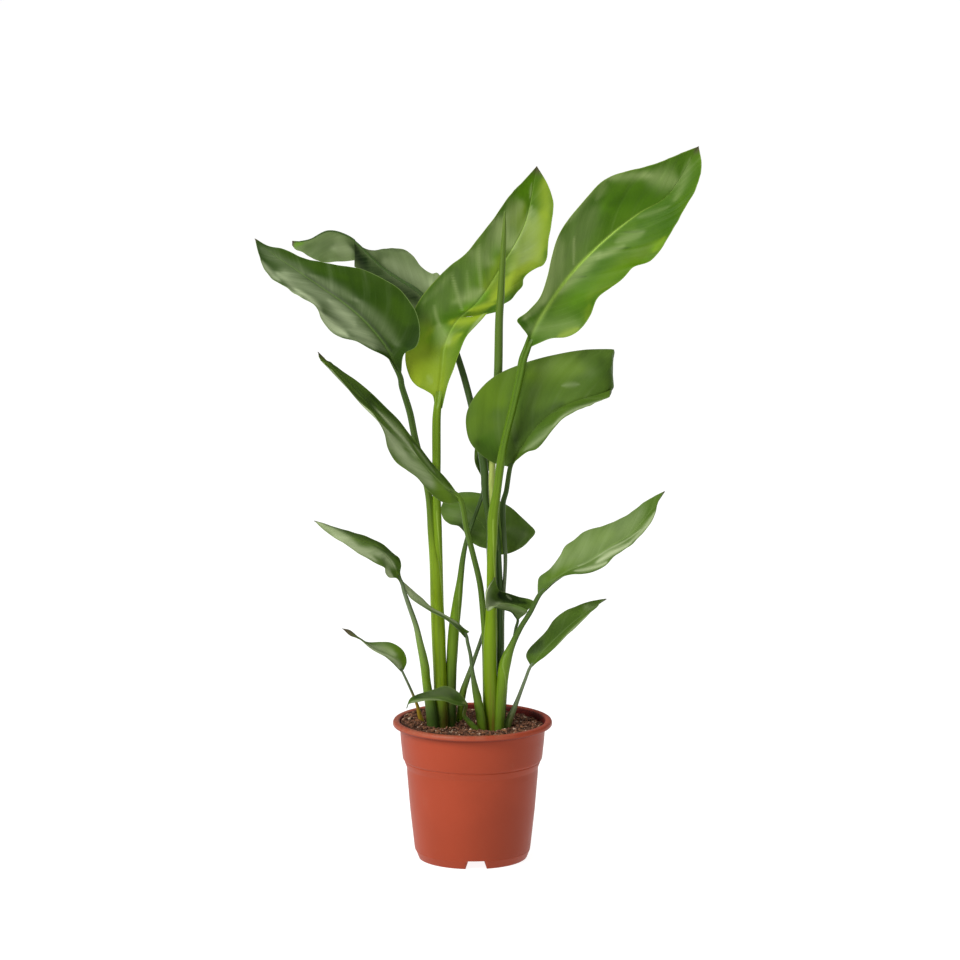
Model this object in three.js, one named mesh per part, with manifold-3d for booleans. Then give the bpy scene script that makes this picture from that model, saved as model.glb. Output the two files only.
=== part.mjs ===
// A potted bird of paradise: a round nursery pot of terracotta coloured plastic, filled with
// soil, with two clumps of upright stalks that carry fifteen leaves and one rolled new leaf.
// All sizes are millimetres. The pot stands on z = 0 with its axis on z, x runs to the right
// of the plant's front, and y runs away from the front.

import * as THREE from 'three';
import Module from 'manifold-3d';

const wasm = await Module();
wasm.setup();

const potHeight = 150;
const rimRadius = 85;
const floorUnderside = 9.6;
const floorThickness = 1.8;
const potSegments = 32;
const drainHoles = 6;
const drainHoleRadius = 5;
const drainCircleRadius = 40;
const footNotches = 4;
const notchWidthBelow = 23;
const notchWidthAbove = 17;
const notchTurn = 4;

const soilLevel = 140;
const soilSlope = -0.05;
const soilGap = 0.4;
const stalkGap = 0.4;

const bladeThickness = 1;
const smallBladeThickness = 0.8;
const ribAtTip = 0.8;
const sagOfBlade = 0.05;

const green = 0x4f7d2b;
const darkGreen = 0x3d6529;
const brightGreen = 0x8fae2f;
const stalkGreen = 0x7fa034;

// Each leaf has a stalk (x, y, z and radius, from below the soil up to the blade), a midrib
// and the margins of its two halves. A torn half has two margins, each with the steps of the
// midrib that it runs beside. Leaves listed under around stand inside the foot of this one.
const leaves = {
  leaf_upper_left: {
    color: darkGreen,
    stalk: [
      [-35, 5, 104, 6.4], [-36, 5, 192, 6], [-38, 5, 279, 5.8], [-42, 5, 343, 4.6],
      [-48, 5, 396, 3.6], [-61, 5, 450, 3.2], [-67, 4, 480, 3.1], [-76, 2, 516, 3],
    ],
    midrib: [
      [-78, 0, 532], [-92, -4, 553], [-111, -8, 577], [-133, -10, 597], [-161, -10, 617],
      [-187, -8, 635], [-210, -3, 650], [-228, 4, 664],
    ],
    left: [
      { from: 0, to: 7, margin: [
        [-80, -1, 533], [-107, -26, 552], [-136, -42, 567], [-155, -50, 586], [-177, -50, 607],
        [-197, -42, 620], [-216, -24, 640], [-228, 4, 664],
      ] },
    ],
    right: [
      { from: 0, to: 7, margin: [
        [-76, 1, 534], [-54, -4, 558], [-57, -1, 588], [-79, 3, 614], [-116, 6, 632],
        [-159, 5, 639], [-196, 3, 649], [-228, 4, 664],
      ] },
    ],
    around: ['leaf_upper_centre'],
  },
  leaf_upper_centre: {
    color: brightGreen,
    stalk: [
      [-32, 6, 104, 4.9], [-34, 6, 191, 4.9], [-36, 5, 295, 4.8], [-37, 4, 354, 4.5],
      [-38, 2, 398, 4], [-38, 2, 432, 3.7], [-37, 2, 473, 4],
    ],
    midrib: [
      [-37, 2, 494], [-33, 8, 523], [-29, 14, 551], [-17, 20, 575], [7, 28, 597], [32, 36, 634],
      [56, 42, 678], [68, 46, 736],
    ],
    left: [
      { from: 0, to: 7, margin: [
        [-39, 2, 494], [-68, 8, 521], [-70, 12, 551], [-54, 14, 603], [-24, 18, 635],
        [10, 24, 664], [42, 32, 708], [68, 46, 736],
      ] },
    ],
    right: [
      { from: 0, to: 3.2, margin: [
        [-35, 2, 494], [-23, 4, 524], [-8, 4, 556], [16, 8, 586],
      ] },
      { from: 3.2, to: 7, margin: [
        [26, 24, 586], [44, 22, 599], [55, 22, 620], [78, 22, 636], [84, 26, 669], [82, 34, 711],
        [68, 46, 736],
      ] },
    ],
  },
  leaf_upper_right: {
    color: brightGreen,
    stalk: [
      [21, -10, 108, 8.2], [19, -10, 206, 7.8], [20, -8, 281, 7.7], [23, -7, 346, 7.4],
      [26, -7, 378, 5.6], [28, -8, 410, 4.5], [33, -11, 448, 3.9], [42, -16, 486, 3.6],
      [50, -20, 524, 3.3],
    ],
    midrib: [
      [54, -18, 553], [63, -19, 571], [78, -19, 595], [95, -20, 618], [115, -22, 645],
      [142, -26, 675], [171, -31, 697], [202, -37, 720], [234, -46, 765],
    ],
    left: [
      { from: 0, to: 8, margin: [
        [53, -18, 554], [48, -22, 579], [71, -30, 608], [84, -38, 642], [94, -42, 680],
        [120, -46, 716], [158, -49, 741], [197, -48, 751], [234, -46, 765],
      ] },
    ],
    right: [
      { from: 0, to: 8, margin: [
        [55, -18, 553], [78, -24, 561], [107, -32, 571], [126, -42, 599], [157, -50, 631],
        [190, -56, 653], [210, -58, 688], [233, -52, 730], [234, -46, 765],
      ] },
    ],
    around: ['rolled_new_leaf', 'leaf_top_back', 'leaf_middle_left'],
  },
  leaf_middle_right: {
    stalk: [
      [28, 9, 103, 3], [28, 8, 169, 3], [31, 6, 219, 2.6], [32, 5, 268, 2.2], [35, 5, 322, 2.1],
      [34, 5, 376, 2.2], [36, 5, 397, 2.5],
    ],
    midrib: [
      [40, 4, 422], [45, 1, 432], [54, -3, 448], [72, -8, 472], [98, -12, 491], [141, -8, 505],
      [148, 14, 509], [138, 46, 512], [126, 80, 513],
    ],
    left: [
      { from: 0, to: 8, margin: [
        [39, 4, 423], [3, -1, 443], [-5, -1, 478], [25, 0, 522], [84, -2, 540], [146, -4, 551],
        [147, 16, 543], [138, 48, 532], [126, 80, 513],
      ] },
    ],
    right: [
      { from: 0, to: 8, margin: [
        [41, 3, 421], [50, -18, 437], [63, -30, 448], [83, -44, 469], [107, -52, 490],
        [142, -40, 503], [148, 2, 504], [139, 40, 503], [126, 80, 513],
      ] },
    ],
  },
  leaf_top_back: {
    stalk: [
      [19, 12, 102, 5], [17, 10, 234, 4.5], [18, 9, 299, 4.3], [16, 10, 353, 4.2],
      [15, 11, 385, 4], [14, 14, 417, 3.6], [6, 15, 471, 3.3], [-7, 24, 512, 3.2], [-21, 34, 548, 3],
    ],
    midrib: [
      [-27, 40, 563], [-40, 48, 585], [-58, 55, 603], [-78, 60, 615], [-96, 64, 627],
      [-113, 66, 644], [-131, 68, 660], [-153, 70, 667], [-173, 71, 659], [-192, 72, 654],
    ],
    left: [
      { from: 0, to: 9, margin: [
        [-26, 40, 564], [-24, 56, 593], [-37, 68, 619], [-57, 78, 629], [-73, 82, 646],
        [-94, 84, 647], [-120, 82, 644], [-141, 78, 651], [-167, 74, 652], [-192, 72, 654],
      ] },
    ],
    right: [
      { from: 0, to: 5.7, margin: [
        [-28, 40, 562], [-52, 50, 567], [-73, 60, 584], [-95, 68, 605], [-112, 73, 619],
        [-126, 76, 627],
      ] },
      { from: 5.7, to: 9, margin: [
        [-125, 56, 635], [-139, 52, 634], [-157, 54, 634], [-175, 62, 643], [-192, 72, 654],
      ] },
    ],
  },
  leaf_middle_left: {
    color: darkGreen,
    stalk: [
      [14, -3, 106, 2.9], [14, -3, 182, 2.9], [14, -3, 237, 2.9], [12, -4, 269, 3],
      [9, -6, 298, 2.9], [2, -9, 329, 2.7], [-6, -12, 357, 2.7],
    ],
    midrib: [
      [-13, -14, 391], [-30, -22, 407], [-47, -27, 425], [-64, -30, 446], [-85, -33, 468],
      [-115, -36, 502], [-159, -38, 548],
    ],
    left: [
      { from: 0, to: 6, margin: [
        [-14, -15, 389], [-34, -34, 389], [-54, -46, 412], [-75, -58, 431], [-91, -60, 461],
        [-120, -50, 503], [-159, -38, 548],
      ] },
    ],
    right: [
      { from: 0, to: 6, margin: [
        [-12, -14, 392], [-23, -12, 410], [-45, -10, 436], [-65, -8, 458], [-89, -8, 485],
        [-122, -18, 518], [-159, -38, 548],
      ] },
    ],
  },
  leaf_lower_left: {
    stalk: [
      [-44, -2, 106, 5], [-45, -2, 155, 5], [-48, -4, 185, 4.7], [-52, -10, 211, 4],
      [-56, -18, 238, 3], [-60, -22, 254, 2.1], [-67, -28, 280, 1.8], [-73, -32, 297, 1.8],
    ],
    midrib: [
      [-79, -34, 313], [-87, -38, 331], [-101, -42, 344], [-119, -45, 352], [-141, -46, 363],
      [-165, -44, 373],
    ],
    left: [
      { from: 0, to: 5, margin: [
        [-80, -35, 311], [-94, -50, 321], [-113, -62, 340], [-132, -64, 352], [-151, -56, 363],
        [-165, -44, 373],
      ] },
    ],
    right: [
      { from: 0, to: 5, margin: [
        [-78, -33, 314], [-74, -26, 325], [-91, -22, 342], [-114, -26, 355], [-141, -36, 364],
        [-165, -44, 373],
      ] },
    ],
  },
  leaf_edge_on: {
    stalk: [
      [14, -20, 110, 4.4], [10, -20, 143, 4.8], [8, -19, 171, 4.4], [5, -19, 188, 3],
      [1, -19, 202, 1.8], [-3, -19, 224, 1.5], [-5, -20, 238, 1.6],
    ],
    midrib: [
      [-7, -20, 248], [-18, -22, 257], [-34, -26, 268], [-49, -28, 280], [-63, -28, 290],
      [-74, -26, 303],
    ],
    left: [
      { from: 0, to: 5, margin: [
        [-6, -21, 247], [-16, -38, 256], [-33, -46, 268], [-49, -46, 279], [-63, -38, 289],
        [-74, -26, 303],
      ] },
    ],
    right: [
      { from: 0, to: 5, margin: [
        [-7, -19, 249], [-12, -11, 256], [-34, -10, 270], [-49, -11, 281], [-63, -17, 292],
        [-74, -26, 303],
      ] },
    ],
  },
  leaf_small_left: {
    stalk: [
      [-42, 14, 102, 2.6], [-47, 14, 124, 2.6], [-50, 13, 137, 2.6], [-55, 11, 150, 2.2],
      [-59, 8, 163, 1.6], [-64, 4, 177, 1.1], [-69, -2, 190, 1.1],
    ],
    midrib: [
      [-75, -6, 204], [-80, -12, 217], [-92, -16, 226], [-105, -18, 233], [-121, -18, 243],
      [-137, -16, 251],
    ],
    left: [
      { from: 0, to: 5, margin: [
        [-76, -7, 203], [-86, -22, 217], [-97, -28, 225], [-108, -28, 231], [-122, -22, 243],
        [-137, -16, 251],
      ] },
    ],
    right: [
      { from: 0, to: 5, margin: [
        [-73, -5, 205], [-70, -2, 220], [-81, -2, 231], [-99, -6, 235], [-119, -14, 242],
        [-137, -16, 251],
      ] },
    ],
  },
  leaf_small_front: {
    stalk: [
      [7, -31, 113, 3], [5, -31, 142, 3], [0, -32, 150, 3], [-5, -33, 156, 2.6], [-9, -35, 163, 2.1],
    ],
    midrib: [
      [-7, -38, 175], [-17, -42, 178], [-30, -45, 183], [-45, -46, 183], [-59, -46, 181],
      [-67, -44, 178], [-70, -42, 171],
    ],
    left: [
      { from: 0, to: 6, margin: [
        [-7, -39, 174], [-16, -50, 176], [-30, -55, 182], [-45, -56, 183], [-58, -52, 180],
        [-67, -47, 177], [-70, -42, 171],
      ] },
    ],
    right: [
      { from: 0, to: 6, margin: [
        [-6, -37, 177], [-15, -30, 186], [-29, -27, 192], [-45, -28, 187], [-59, -34, 184],
        [-66, -40, 181], [-70, -42, 171],
      ] },
    ],
  },
  leaf_lower_back: {
    stalk: [
      [-18, 16, 101, 3], [-17, 15, 143, 2.7], [-13, 14, 173, 2.5], [-8, 14, 189, 2.1],
      [-2, 14, 210, 1.8], [12, 16, 257, 1.9], [21, 17, 292, 2],
    ],
    midrib: [
      [27, 18, 328], [20, 28, 342], [10, 40, 354], [-2, 54, 365], [-15, 70, 372], [-29, 84, 375],
    ],
    left: [
      { from: 0, to: 5, margin: [
        [26, 18, 328], [10, 19, 334], [-3, 27, 345], [-14, 40, 357], [-32, 64, 361], [-29, 84, 375],
      ] },
    ],
    right: [
      { from: 0, to: 5, margin: [
        [29, 18, 326], [56, 20, 333], [70, 30, 350], [40, 48, 370], [6, 68, 383], [-29, 84, 375],
      ] },
    ],
  },
  leaf_lower_right: {
    stalk: [
      [27, -17, 109, 4.6], [29, -15, 158, 5], [32, -14, 196, 5], [36, -14, 215, 4.4],
      [41, -15, 234, 3], [50, -17, 253, 2.4], [61, -20, 270, 2.3],
    ],
    midrib: [
      [71, -24, 290], [83, -27, 304], [101, -30, 317], [119, -32, 325], [141, -34, 341],
      [166, -34, 357], [185, -33, 378], [201, -30, 400],
    ],
    left: [
      { from: 0, to: 7, margin: [
        [70, -23, 292], [70, -18, 306], [93, -12, 326], [108, -10, 344], [126, -10, 358],
        [158, -14, 369], [182, -20, 389], [201, -30, 400],
      ] },
    ],
    right: [
      { from: 0, to: 7, margin: [
        [72, -25, 289], [86, -40, 308], [105, -52, 320], [125, -60, 319], [145, -64, 337],
        [169, -60, 354], [190, -46, 380], [201, -30, 400],
      ] },
    ],
    around: ['leaf_upper_right'],
  },
  leaf_small_curled: {
    stalk: [
      [33, 4, 104, 1.8], [33, 3, 138, 1.8], [35, -3, 171, 1.6], [37, -6, 207, 1.4],
      [40, -7, 227, 1.2], [44, -8, 242, 1.1], [45, -10, 253, 1.1],
    ],
    midrib: [
      [47, -12, 266], [41, -18, 272], [29, -24, 276], [18, -27, 280], [15, -28, 294], [23, -26, 307],
    ],
    left: [
      { from: 0, to: 5, margin: [
        [49, -14, 267], [58, -24, 280], [41, -32, 283], [26, -36, 284], [23, -34, 297],
        [23, -26, 307],
      ] },
    ],
    right: [
      { from: 0, to: 5, margin: [
        [50, -10, 267], [65, -3, 277], [50, -3, 283], [35, -8, 289], [26, -18, 294], [23, -26, 307],
      ] },
    ],
  },
  leaf_small_right: {
    stalk: [
      [33, -5, 106, 3.6], [34, -6, 126, 3.8], [36, -7, 141, 4], [40, -6, 153, 3.8],
      [44, -6, 162, 3], [48, -6, 172, 2], [55, -6, 187, 1.5],
    ],
    midrib: [
      [62, -6, 209], [73, -10, 224], [89, -12, 241], [106, -13, 257], [125, -12, 272],
      [142, -10, 283],
    ],
    left: [
      { from: 0, to: 5, margin: [
        [61, -5, 210], [57, -2, 225], [78, 2, 248], [98, 3, 266], [121, -2, 278], [142, -10, 283],
      ] },
    ],
    right: [
      { from: 0, to: 5, margin: [
        [63, -7, 208], [77, -22, 223], [97, -30, 242], [115, -30, 263], [134, -20, 277],
        [142, -10, 283],
      ] },
    ],
  },
  leaf_middle_back: {
    stalk: [
      [-21, 9, 103, 5], [-22, 6, 180, 5.2], [-22, 5, 213, 5.2], [-21, 4, 241, 3.8],
      [-19, 3, 273, 3], [-12, 3, 322, 2.1], [-5, 4, 344, 1.9], [4, 12, 372, 1.9], [10, 20, 395, 2],
    ],
    midrib: [
      [8, 24, 416], [15, 34, 443], [33, 48, 468], [54, 66, 488], [78, 84, 504],
    ],
    left: [
      { from: 0, to: 4, margin: [
        [7, 24, 416], [1, 28, 440], [13, 40, 475], [38, 60, 501], [78, 84, 504],
      ] },
    ],
    right: [
      { from: 0, to: 4, margin: [
        [9, 25, 415], [29, 26, 434], [52, 38, 459], [74, 58, 484], [78, 84, 504],
      ] },
    ],
  },
};

// The new leaf is still rolled up: x, y, z and radius from below the soil to its tip.
const rolledLeaf = [
  [22, 1, 105, 4], [22, -1, 236, 4], [21, -1, 301, 4.2], [20, 0, 355, 4.2], [21, 6, 397, 4.2],
  [23, 10, 423, 4.1], [27, 10, 471, 4], [28, 9, 523, 3.9], [29, 8, 578, 3.8], [30, 8, 607, 3.7],
  [33, 10, 661, 2.6], [34, 11, 692, 0.8],
];

function vector(row) {
  return new THREE.Vector3(row[0], row[1], row[2]);
}

// A smooth curve through control points. The step counts control points, so 1.5 lies
// halfway between the second and the third.
function pointOn(rows, step) {
  const curve = new THREE.CatmullRomCurve3(rows.map(vector), false, 'catmullrom', 0.5);
  return curve.getPoint(step / (rows.length - 1));
}

// Turns points and triangles into a solid. Points closer than a micron become one.
function solidOf(points, triangles) {
  const seen = new Map();
  const corners = [];
  const index = points.map((point) => {
    const key = point.map((value) => Math.round(value * 1000)).join(' ');
    if (!seen.has(key)) {
      seen.set(key, corners.length / 3);
      corners.push(...point);
    }
    return seen.get(key);
  });
  const faces = [];
  for (const [a, b, c] of triangles) {
    const ia = index[a];
    const ib = index[b];
    const ic = index[c];
    if (ia !== ib && ib !== ic && ic !== ia) {
      faces.push(ia, ib, ic);
    }
  }
  return new wasm.Manifold(new wasm.Mesh({
    numProp: 3,
    vertProperties: Float32Array.from(corners),
    triVerts: Uint32Array.from(faces),
  }));
}

function solidOfGeometry(geometry) {
  const position = geometry.getAttribute('position');
  const points = [];
  for (let i = 0; i < position.count; i++) {
    points.push([position.getX(i), position.getY(i), position.getZ(i)]);
  }
  const order = geometry.index ? Array.from(geometry.index.array) : points.map((_, i) => i);
  const triangles = [];
  for (let i = 0; i < order.length; i += 3) {
    triangles.push([order[i], order[i + 1], order[i + 2]]);
  }
  return solidOf(points, triangles);
}

// A round stalk along a line of points, each with its own radius, closed at both ends.
function tube(points, radii, sides) {
  const corners = [];
  const triangles = [];
  let side = new THREE.Vector3(1, 0, 0);
  for (let i = 0; i < points.length; i++) {
    const before = points[Math.max(i - 1, 0)];
    const after = points[Math.min(i + 1, points.length - 1)];
    const along = after.clone().sub(before).normalize();
    side = side.clone().addScaledVector(along, -side.dot(along)).normalize();
    const across = along.clone().cross(side);
    for (let k = 0; k < sides; k++) {
      const angle = 2 * Math.PI * k / sides;
      const corner = points[i].clone();
      corner.addScaledVector(side, radii[i] * Math.cos(angle));
      corner.addScaledVector(across, radii[i] * Math.sin(angle));
      corners.push(corner.toArray());
    }
  }
  for (let i = 0; i < points.length - 1; i++) {
    for (let k = 0; k < sides; k++) {
      const a = i * sides + k;
      const b = i * sides + (k + 1) % sides;
      triangles.push([a, b, b + sides], [a, b + sides, a + sides]);
    }
  }
  const last = (points.length - 1) * sides;
  for (let k = 1; k < sides - 1; k++) {
    triangles.push([0, k + 1, k], [last, last + k, last + k + 1]);
  }
  return solidOf(corners, triangles);
}

// Points and radii along a stalk: rows hold x, y, z and a radius.
function stalkLine(rows, grow) {
  const steps = rows.length;
  const points = [];
  const radii = [];
  for (let i = 0; i <= steps; i++) {
    const step = (rows.length - 1) * i / steps;
    const row = Math.min(Math.floor(step), rows.length - 2);
    const part = step - row;
    points.push(pointOn(rows, step));
    radii.push(rows[row][3] * (1 - part) + rows[row + 1][3] * part + grow);
  }
  return { points, radii };
}

// One half of a blade, or a torn part of it: a grid that runs along the midrib and out to the
// margin, sagging a little between them, and given an even thickness.
function halfBlade(leaf, panel, side, rows, columns, thickness) {
  const grid = [];
  const faceward = [];
  let outward = new THREE.Vector3();
  for (let i = 0; i <= rows; i++) {
    const step = panel.from + (panel.to - panel.from) * i / rows;
    const root = pointOn(leaf.midrib, step);
    const ahead = pointOn(leaf.midrib, Math.min(step + 0.05, leaf.midrib.length - 1));
    const behind = pointOn(leaf.midrib, Math.max(step - 0.05, 0));
    const along = ahead.sub(behind).normalize();
    const edge = pointOn(panel.margin, (panel.margin.length - 1) * i / rows);
    let reach = edge.clone().sub(root);
    if (reach.length() < 0.8) {
      reach = outward.clone().setLength(0.8);
    }
    outward = reach.clone();
    const face = reach.clone().cross(along).multiplyScalar(side).normalize();
    const sag = sagOfBlade * reach.length();
    const line = [];
    for (let j = 0; j <= columns; j++) {
      const u = j / columns;
      const point = root.clone().addScaledVector(reach, u);
      line.push(point.addScaledVector(face, -sag * 4 * u * (1 - u)));
    }
    grid.push(line);
    faceward.push(face);
  }
  const corners = [];
  for (const way of [1, -1]) {
    for (let i = 0; i <= rows; i++) {
      for (let j = 0; j <= columns; j++) {
        const along = grid[Math.min(i + 1, rows)][j].clone().sub(grid[Math.max(i - 1, 0)][j]);
        const across = grid[i][Math.min(j + 1, columns)].clone().sub(grid[i][Math.max(j - 1, 0)]);
        const normal = across.cross(along).multiplyScalar(side).normalize();
        if (normal.dot(faceward[i]) < 0.3) {
          normal.copy(faceward[i]);
        }
        corners.push(grid[i][j].clone().addScaledVector(normal, way * thickness / 2).toArray());
      }
    }
  }
  return solidOf(corners, plateTriangles(rows, columns, side));
}

// The two faces of a plate are split alike, and a band of triangles joins them all round.
function plateTriangles(rows, columns, side) {
  const wide = columns + 1;
  const below = (rows + 1) * wide;
  const triangles = [];
  for (let i = 0; i < rows; i++) {
    for (let j = 0; j < columns; j++) {
      const a = i * wide + j;
      const b = a + 1;
      const c = a + wide + 1;
      const d = a + wide;
      triangles.push([a, b, c], [a, c, d]);
      triangles.push([a + below, c + below, b + below], [a + below, d + below, c + below]);
    }
  }
  const ring = [];
  for (let j = 0; j < columns; j++) {
    ring.push(j);
  }
  for (let i = 0; i < rows; i++) {
    ring.push(i * wide + columns);
  }
  for (let j = columns; j > 0; j--) {
    ring.push(rows * wide + j);
  }
  for (let i = rows; i > 0; i--) {
    ring.push(i * wide);
  }
  for (let k = 0; k < ring.length; k++) {
    const a = ring[k];
    const b = ring[(k + 1) % ring.length];
    triangles.push([b, a, a + below], [b, a + below, b + below]);
  }
  return side > 0 ? triangles : triangles.map(([a, b, c]) => [a, c, b]);
}

function stalkRows(leaf) {
  return [...leaf.stalk, [...leaf.midrib[0], leaf.stalk.at(-1)[3]]];
}

// The stalk runs on under the blade as a midrib that tapers to the tip. It moves to the
// underside, so that the upper face keeps a shallow channel.
function stalkAndRib(leaf) {
  const lower = stalkLine(stalkRows(leaf), 0);
  const last = leaf.midrib.length - 1;
  const base = leaf.stalk.at(-1)[3];
  const ribSteps = bladeRows(leaf, 0, last);
  for (let i = 1; i <= ribSteps; i++) {
    const part = i / ribSteps;
    const step = last * part;
    const point = pointOn(leaf.midrib, step);
    const radius = ribAtTip + (base * 0.8 - ribAtTip) * (1 - part);
    const sink = 0.6 * radius * Math.min(1, 4 * part);
    lower.points.push(point.addScaledVector(upperFace(leaf, step), -sink));
    lower.radii.push(radius);
  }
  return tube(lower.points, lower.radii, isLarge(leaf) ? 8 : 6);
}

function panelAt(panels, step) {
  return panels.find((panel) => step >= panel.from && step <= panel.to);
}

// The direction that the upper face of the leaf looks in, at one step of its midrib.
function upperFace(leaf, step) {
  const last = leaf.midrib.length - 1;
  const place = Math.min(Math.max(step, 0.3), last - 0.3);
  const edges = [leaf.left, leaf.right].map((panels) => {
    const panel = panelAt(panels, place);
    const part = (place - panel.from) / (panel.to - panel.from);
    return pointOn(panel.margin, (panel.margin.length - 1) * part);
  });
  const along = pointOn(leaf.midrib, place + 0.1).sub(pointOn(leaf.midrib, place - 0.1));
  return edges[1].sub(edges[0]).cross(along).normalize();
}

function isLarge(leaf) {
  return leaf.midrib.length > 6;
}

function bladeRows(leaf, from, to) {
  const rowsPerStep = 1.15;
  return Math.max(2, Math.round(rowsPerStep * (to - from)));
}

function leafSolid(leaf) {
  const thickness = isLarge(leaf) ? bladeThickness : smallBladeThickness;
  const columns = isLarge(leaf) ? 3 : 2;
  let solid = stalkAndRib(leaf);
  for (const [panels, side] of [[leaf.left, -1], [leaf.right, 1]]) {
    for (const panel of panels) {
      const rows = bladeRows(leaf, panel.from, panel.to);
      solid = solid.add(halfBlade(leaf, panel, side, rows, columns, thickness));
    }
  }
  return solid;
}

// The room that a stalk needs in the soil or inside an older sheath: the stalk made a little
// thicker.
function roomFor(name) {
  const leaf = leaves[name];
  const { points, radii } = stalkLine(leaf ? stalkRows(leaf) : rolledLeaf, stalkGap);
  points[0].add(points[0].clone().sub(points[1]).setLength(1));
  return tube(points, radii, leaf && !isLarge(leaf) ? 6 : 8);
}

function largestPiece(solid) {
  const pieces = solid.decompose();
  pieces.sort((a, b) => b.volume() - a.volume());
  return pieces[0];
}

function rolledLeafSolid() {
  const { points, radii } = stalkLine(rolledLeaf, 0);
  return tube(points, radii, 8);
}

// The pot wall is one closed outline turned about the axis: the foot, the tapered body, a
// shoulder, the collar and a rolled rim, then back down inside to the raised floor.
function potSolid() {
  const floorTop = floorUnderside + floorThickness;
  const outline = [
    [0, floorUnderside], [59, floorUnderside], [56.4, 0], [58.3, 0], [60.5, 6.5], [61.5, 12],
    [70, 89], [70.2, 96.5], [75.8, 109], [76.1, 111], [77.8, 128], [78.4, 143.5], [79.6, 144.8],
    [84.1, 144.8], [rimRadius, 145.8], [rimRadius, 148.8], [84, potHeight], [81.4, potHeight],
    [79.4, 148.8], [77, 144], [76.2, 128], [74.5, 111.5], [74.1, 109.8], [68.6, 97.4],
    [68.4, 89], [60, floorTop + 1], [59.4, floorTop], [0, floorTop],
  ];
  const points = outline.map(([radius, height]) => new THREE.Vector2(radius, height));
  points.push(points[0].clone());
  const turned = new THREE.LatheGeometry(points, potSegments);
  turned.rotateX(Math.PI / 2);
  let pot = solidOfGeometry(turned);
  for (let k = 0; k < footNotches; k++) {
    pot = pot.subtract(footNotch(2 * Math.PI * k / footNotches));
  }
  for (let k = 0; k < drainHoles; k++) {
    pot = pot.subtract(drainHole(2 * Math.PI * k / drainHoles));
  }
  return pot;
}

// A trapezoid opening in the foot, the same on each side of the pot.
function footNotch(turn) {
  const shape = new THREE.Shape();
  shape.moveTo(-notchWidthBelow / 2, 0);
  shape.lineTo(notchWidthBelow / 2, 0);
  shape.lineTo(notchWidthAbove / 2, floorUnderside);
  shape.lineTo(-notchWidthAbove / 2, floorUnderside);
  shape.closePath();
  const block = new THREE.ExtrudeGeometry(shape, { depth: 16, bevelEnabled: false });
  block.scale(1, 1.0001, 1);
  block.rotateX(Math.PI / 2);
  block.translate(0, -50, -0.0005);
  block.rotateZ(turn + THREE.MathUtils.degToRad(notchTurn));
  return solidOfGeometry(block);
}

function drainHole(turn) {
  const pin = new THREE.CylinderGeometry(drainHoleRadius, drainHoleRadius, 6, 8);
  pin.rotateX(Math.PI / 2);
  pin.translate(drainCircleRadius, 0, floorUnderside + floorThickness / 2);
  pin.rotateZ(turn);
  return solidOfGeometry(pin);
}

// Loose soil: nearly level, a little higher on the left, with small humps.
function soilHeight(x, y) {
  const humps = 1.2 * Math.sin(x / 9 + 1) * Math.cos(y / 8) + 0.8 * Math.sin(x / 4.3 - y / 5.1);
  return soilLevel + soilSlope * x + humps;
}

function soilSolid() {
  const rings = [0, 18, 36, 54, 66, 75.6];
  const sideLine = [
    [75.4, 126], [73.9, 111], [73.3, 109], [68, 97], [67.9, 89], [59.5, 13.5], [58.6, 11.8],
  ];
  const around = 22;
  const corners = [[0, 0, soilHeight(0, 0)]];
  const triangles = [];
  for (const radius of rings.slice(1)) {
    for (let k = 0; k < around; k++) {
      const angle = 2 * Math.PI * k / around;
      const x = radius * Math.cos(angle);
      const y = radius * Math.sin(angle);
      corners.push([x, y, soilHeight(x, y)]);
    }
  }
  for (const [radius, height] of sideLine) {
    for (let k = 0; k < around; k++) {
      const angle = 2 * Math.PI * k / around;
      corners.push([radius * Math.cos(angle), radius * Math.sin(angle), height]);
    }
  }
  const bands = rings.length - 1 + sideLine.length;
  for (let k = 0; k < around; k++) {
    triangles.push([0, 1 + k, 1 + (k + 1) % around]);
  }
  for (let i = 0; i < bands - 1; i++) {
    for (let k = 0; k < around; k++) {
      const a = 1 + i * around + k;
      const b = 1 + i * around + (k + 1) % around;
      triangles.push([a, a + around, b + around], [a, b + around, b]);
    }
  }
  const foot = corners.length;
  corners.push([0, 0, floorUnderside + floorThickness + soilGap]);
  for (let k = 0; k < around; k++) {
    const a = 1 + (bands - 1) * around + k;
    const b = 1 + (bands - 1) * around + (k + 1) % around;
    triangles.push([a, foot, b]);
  }
  let soil = solidOf(corners, triangles);
  for (const name of [...Object.keys(leaves), 'rolled_new_leaf']) {
    soil = soil.subtract(roomFor(name));
  }
  return largestPiece(soil);
}

function meshOf(name, solid, color, roughness) {
  const mesh = solid.getMesh();
  const positions = [];
  for (let i = 0; i < mesh.vertProperties.length; i += mesh.numProp) {
    positions.push(...mesh.vertProperties.slice(i, i + 3));
  }
  const geometry = new THREE.BufferGeometry();
  geometry.setAttribute('position', new THREE.Float32BufferAttribute(positions, 3));
  geometry.setIndex(Array.from(mesh.triVerts));
  geometry.computeVertexNormals();
  const material = new THREE.MeshStandardMaterial({ color, roughness, metalness: 0 });
  const object = new THREE.Mesh(geometry, material);
  object.name = name;
  return object;
}

function buildPlant() {
  const plant = new THREE.Group();
  plant.name = 'potted_bird_of_paradise';
  plant.add(meshOf('pot', potSolid(), 0xb85941, 0.45));
  plant.add(meshOf('soil', soilSolid(), 0x3b2a20, 0.95));
  plant.add(meshOf('rolled_new_leaf', rolledLeafSolid(), stalkGreen, 0.4));
  for (const [name, leaf] of Object.entries(leaves)) {
    let solid = leafSolid(leaf);
    for (const inner of leaf.around ?? []) {
      solid = solid.subtract(roomFor(inner));
    }
    plant.add(meshOf(name, largestPiece(solid), leaf.color ?? green, 0.4));
  }
  return plant;
}

export default buildPlant();
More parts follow.
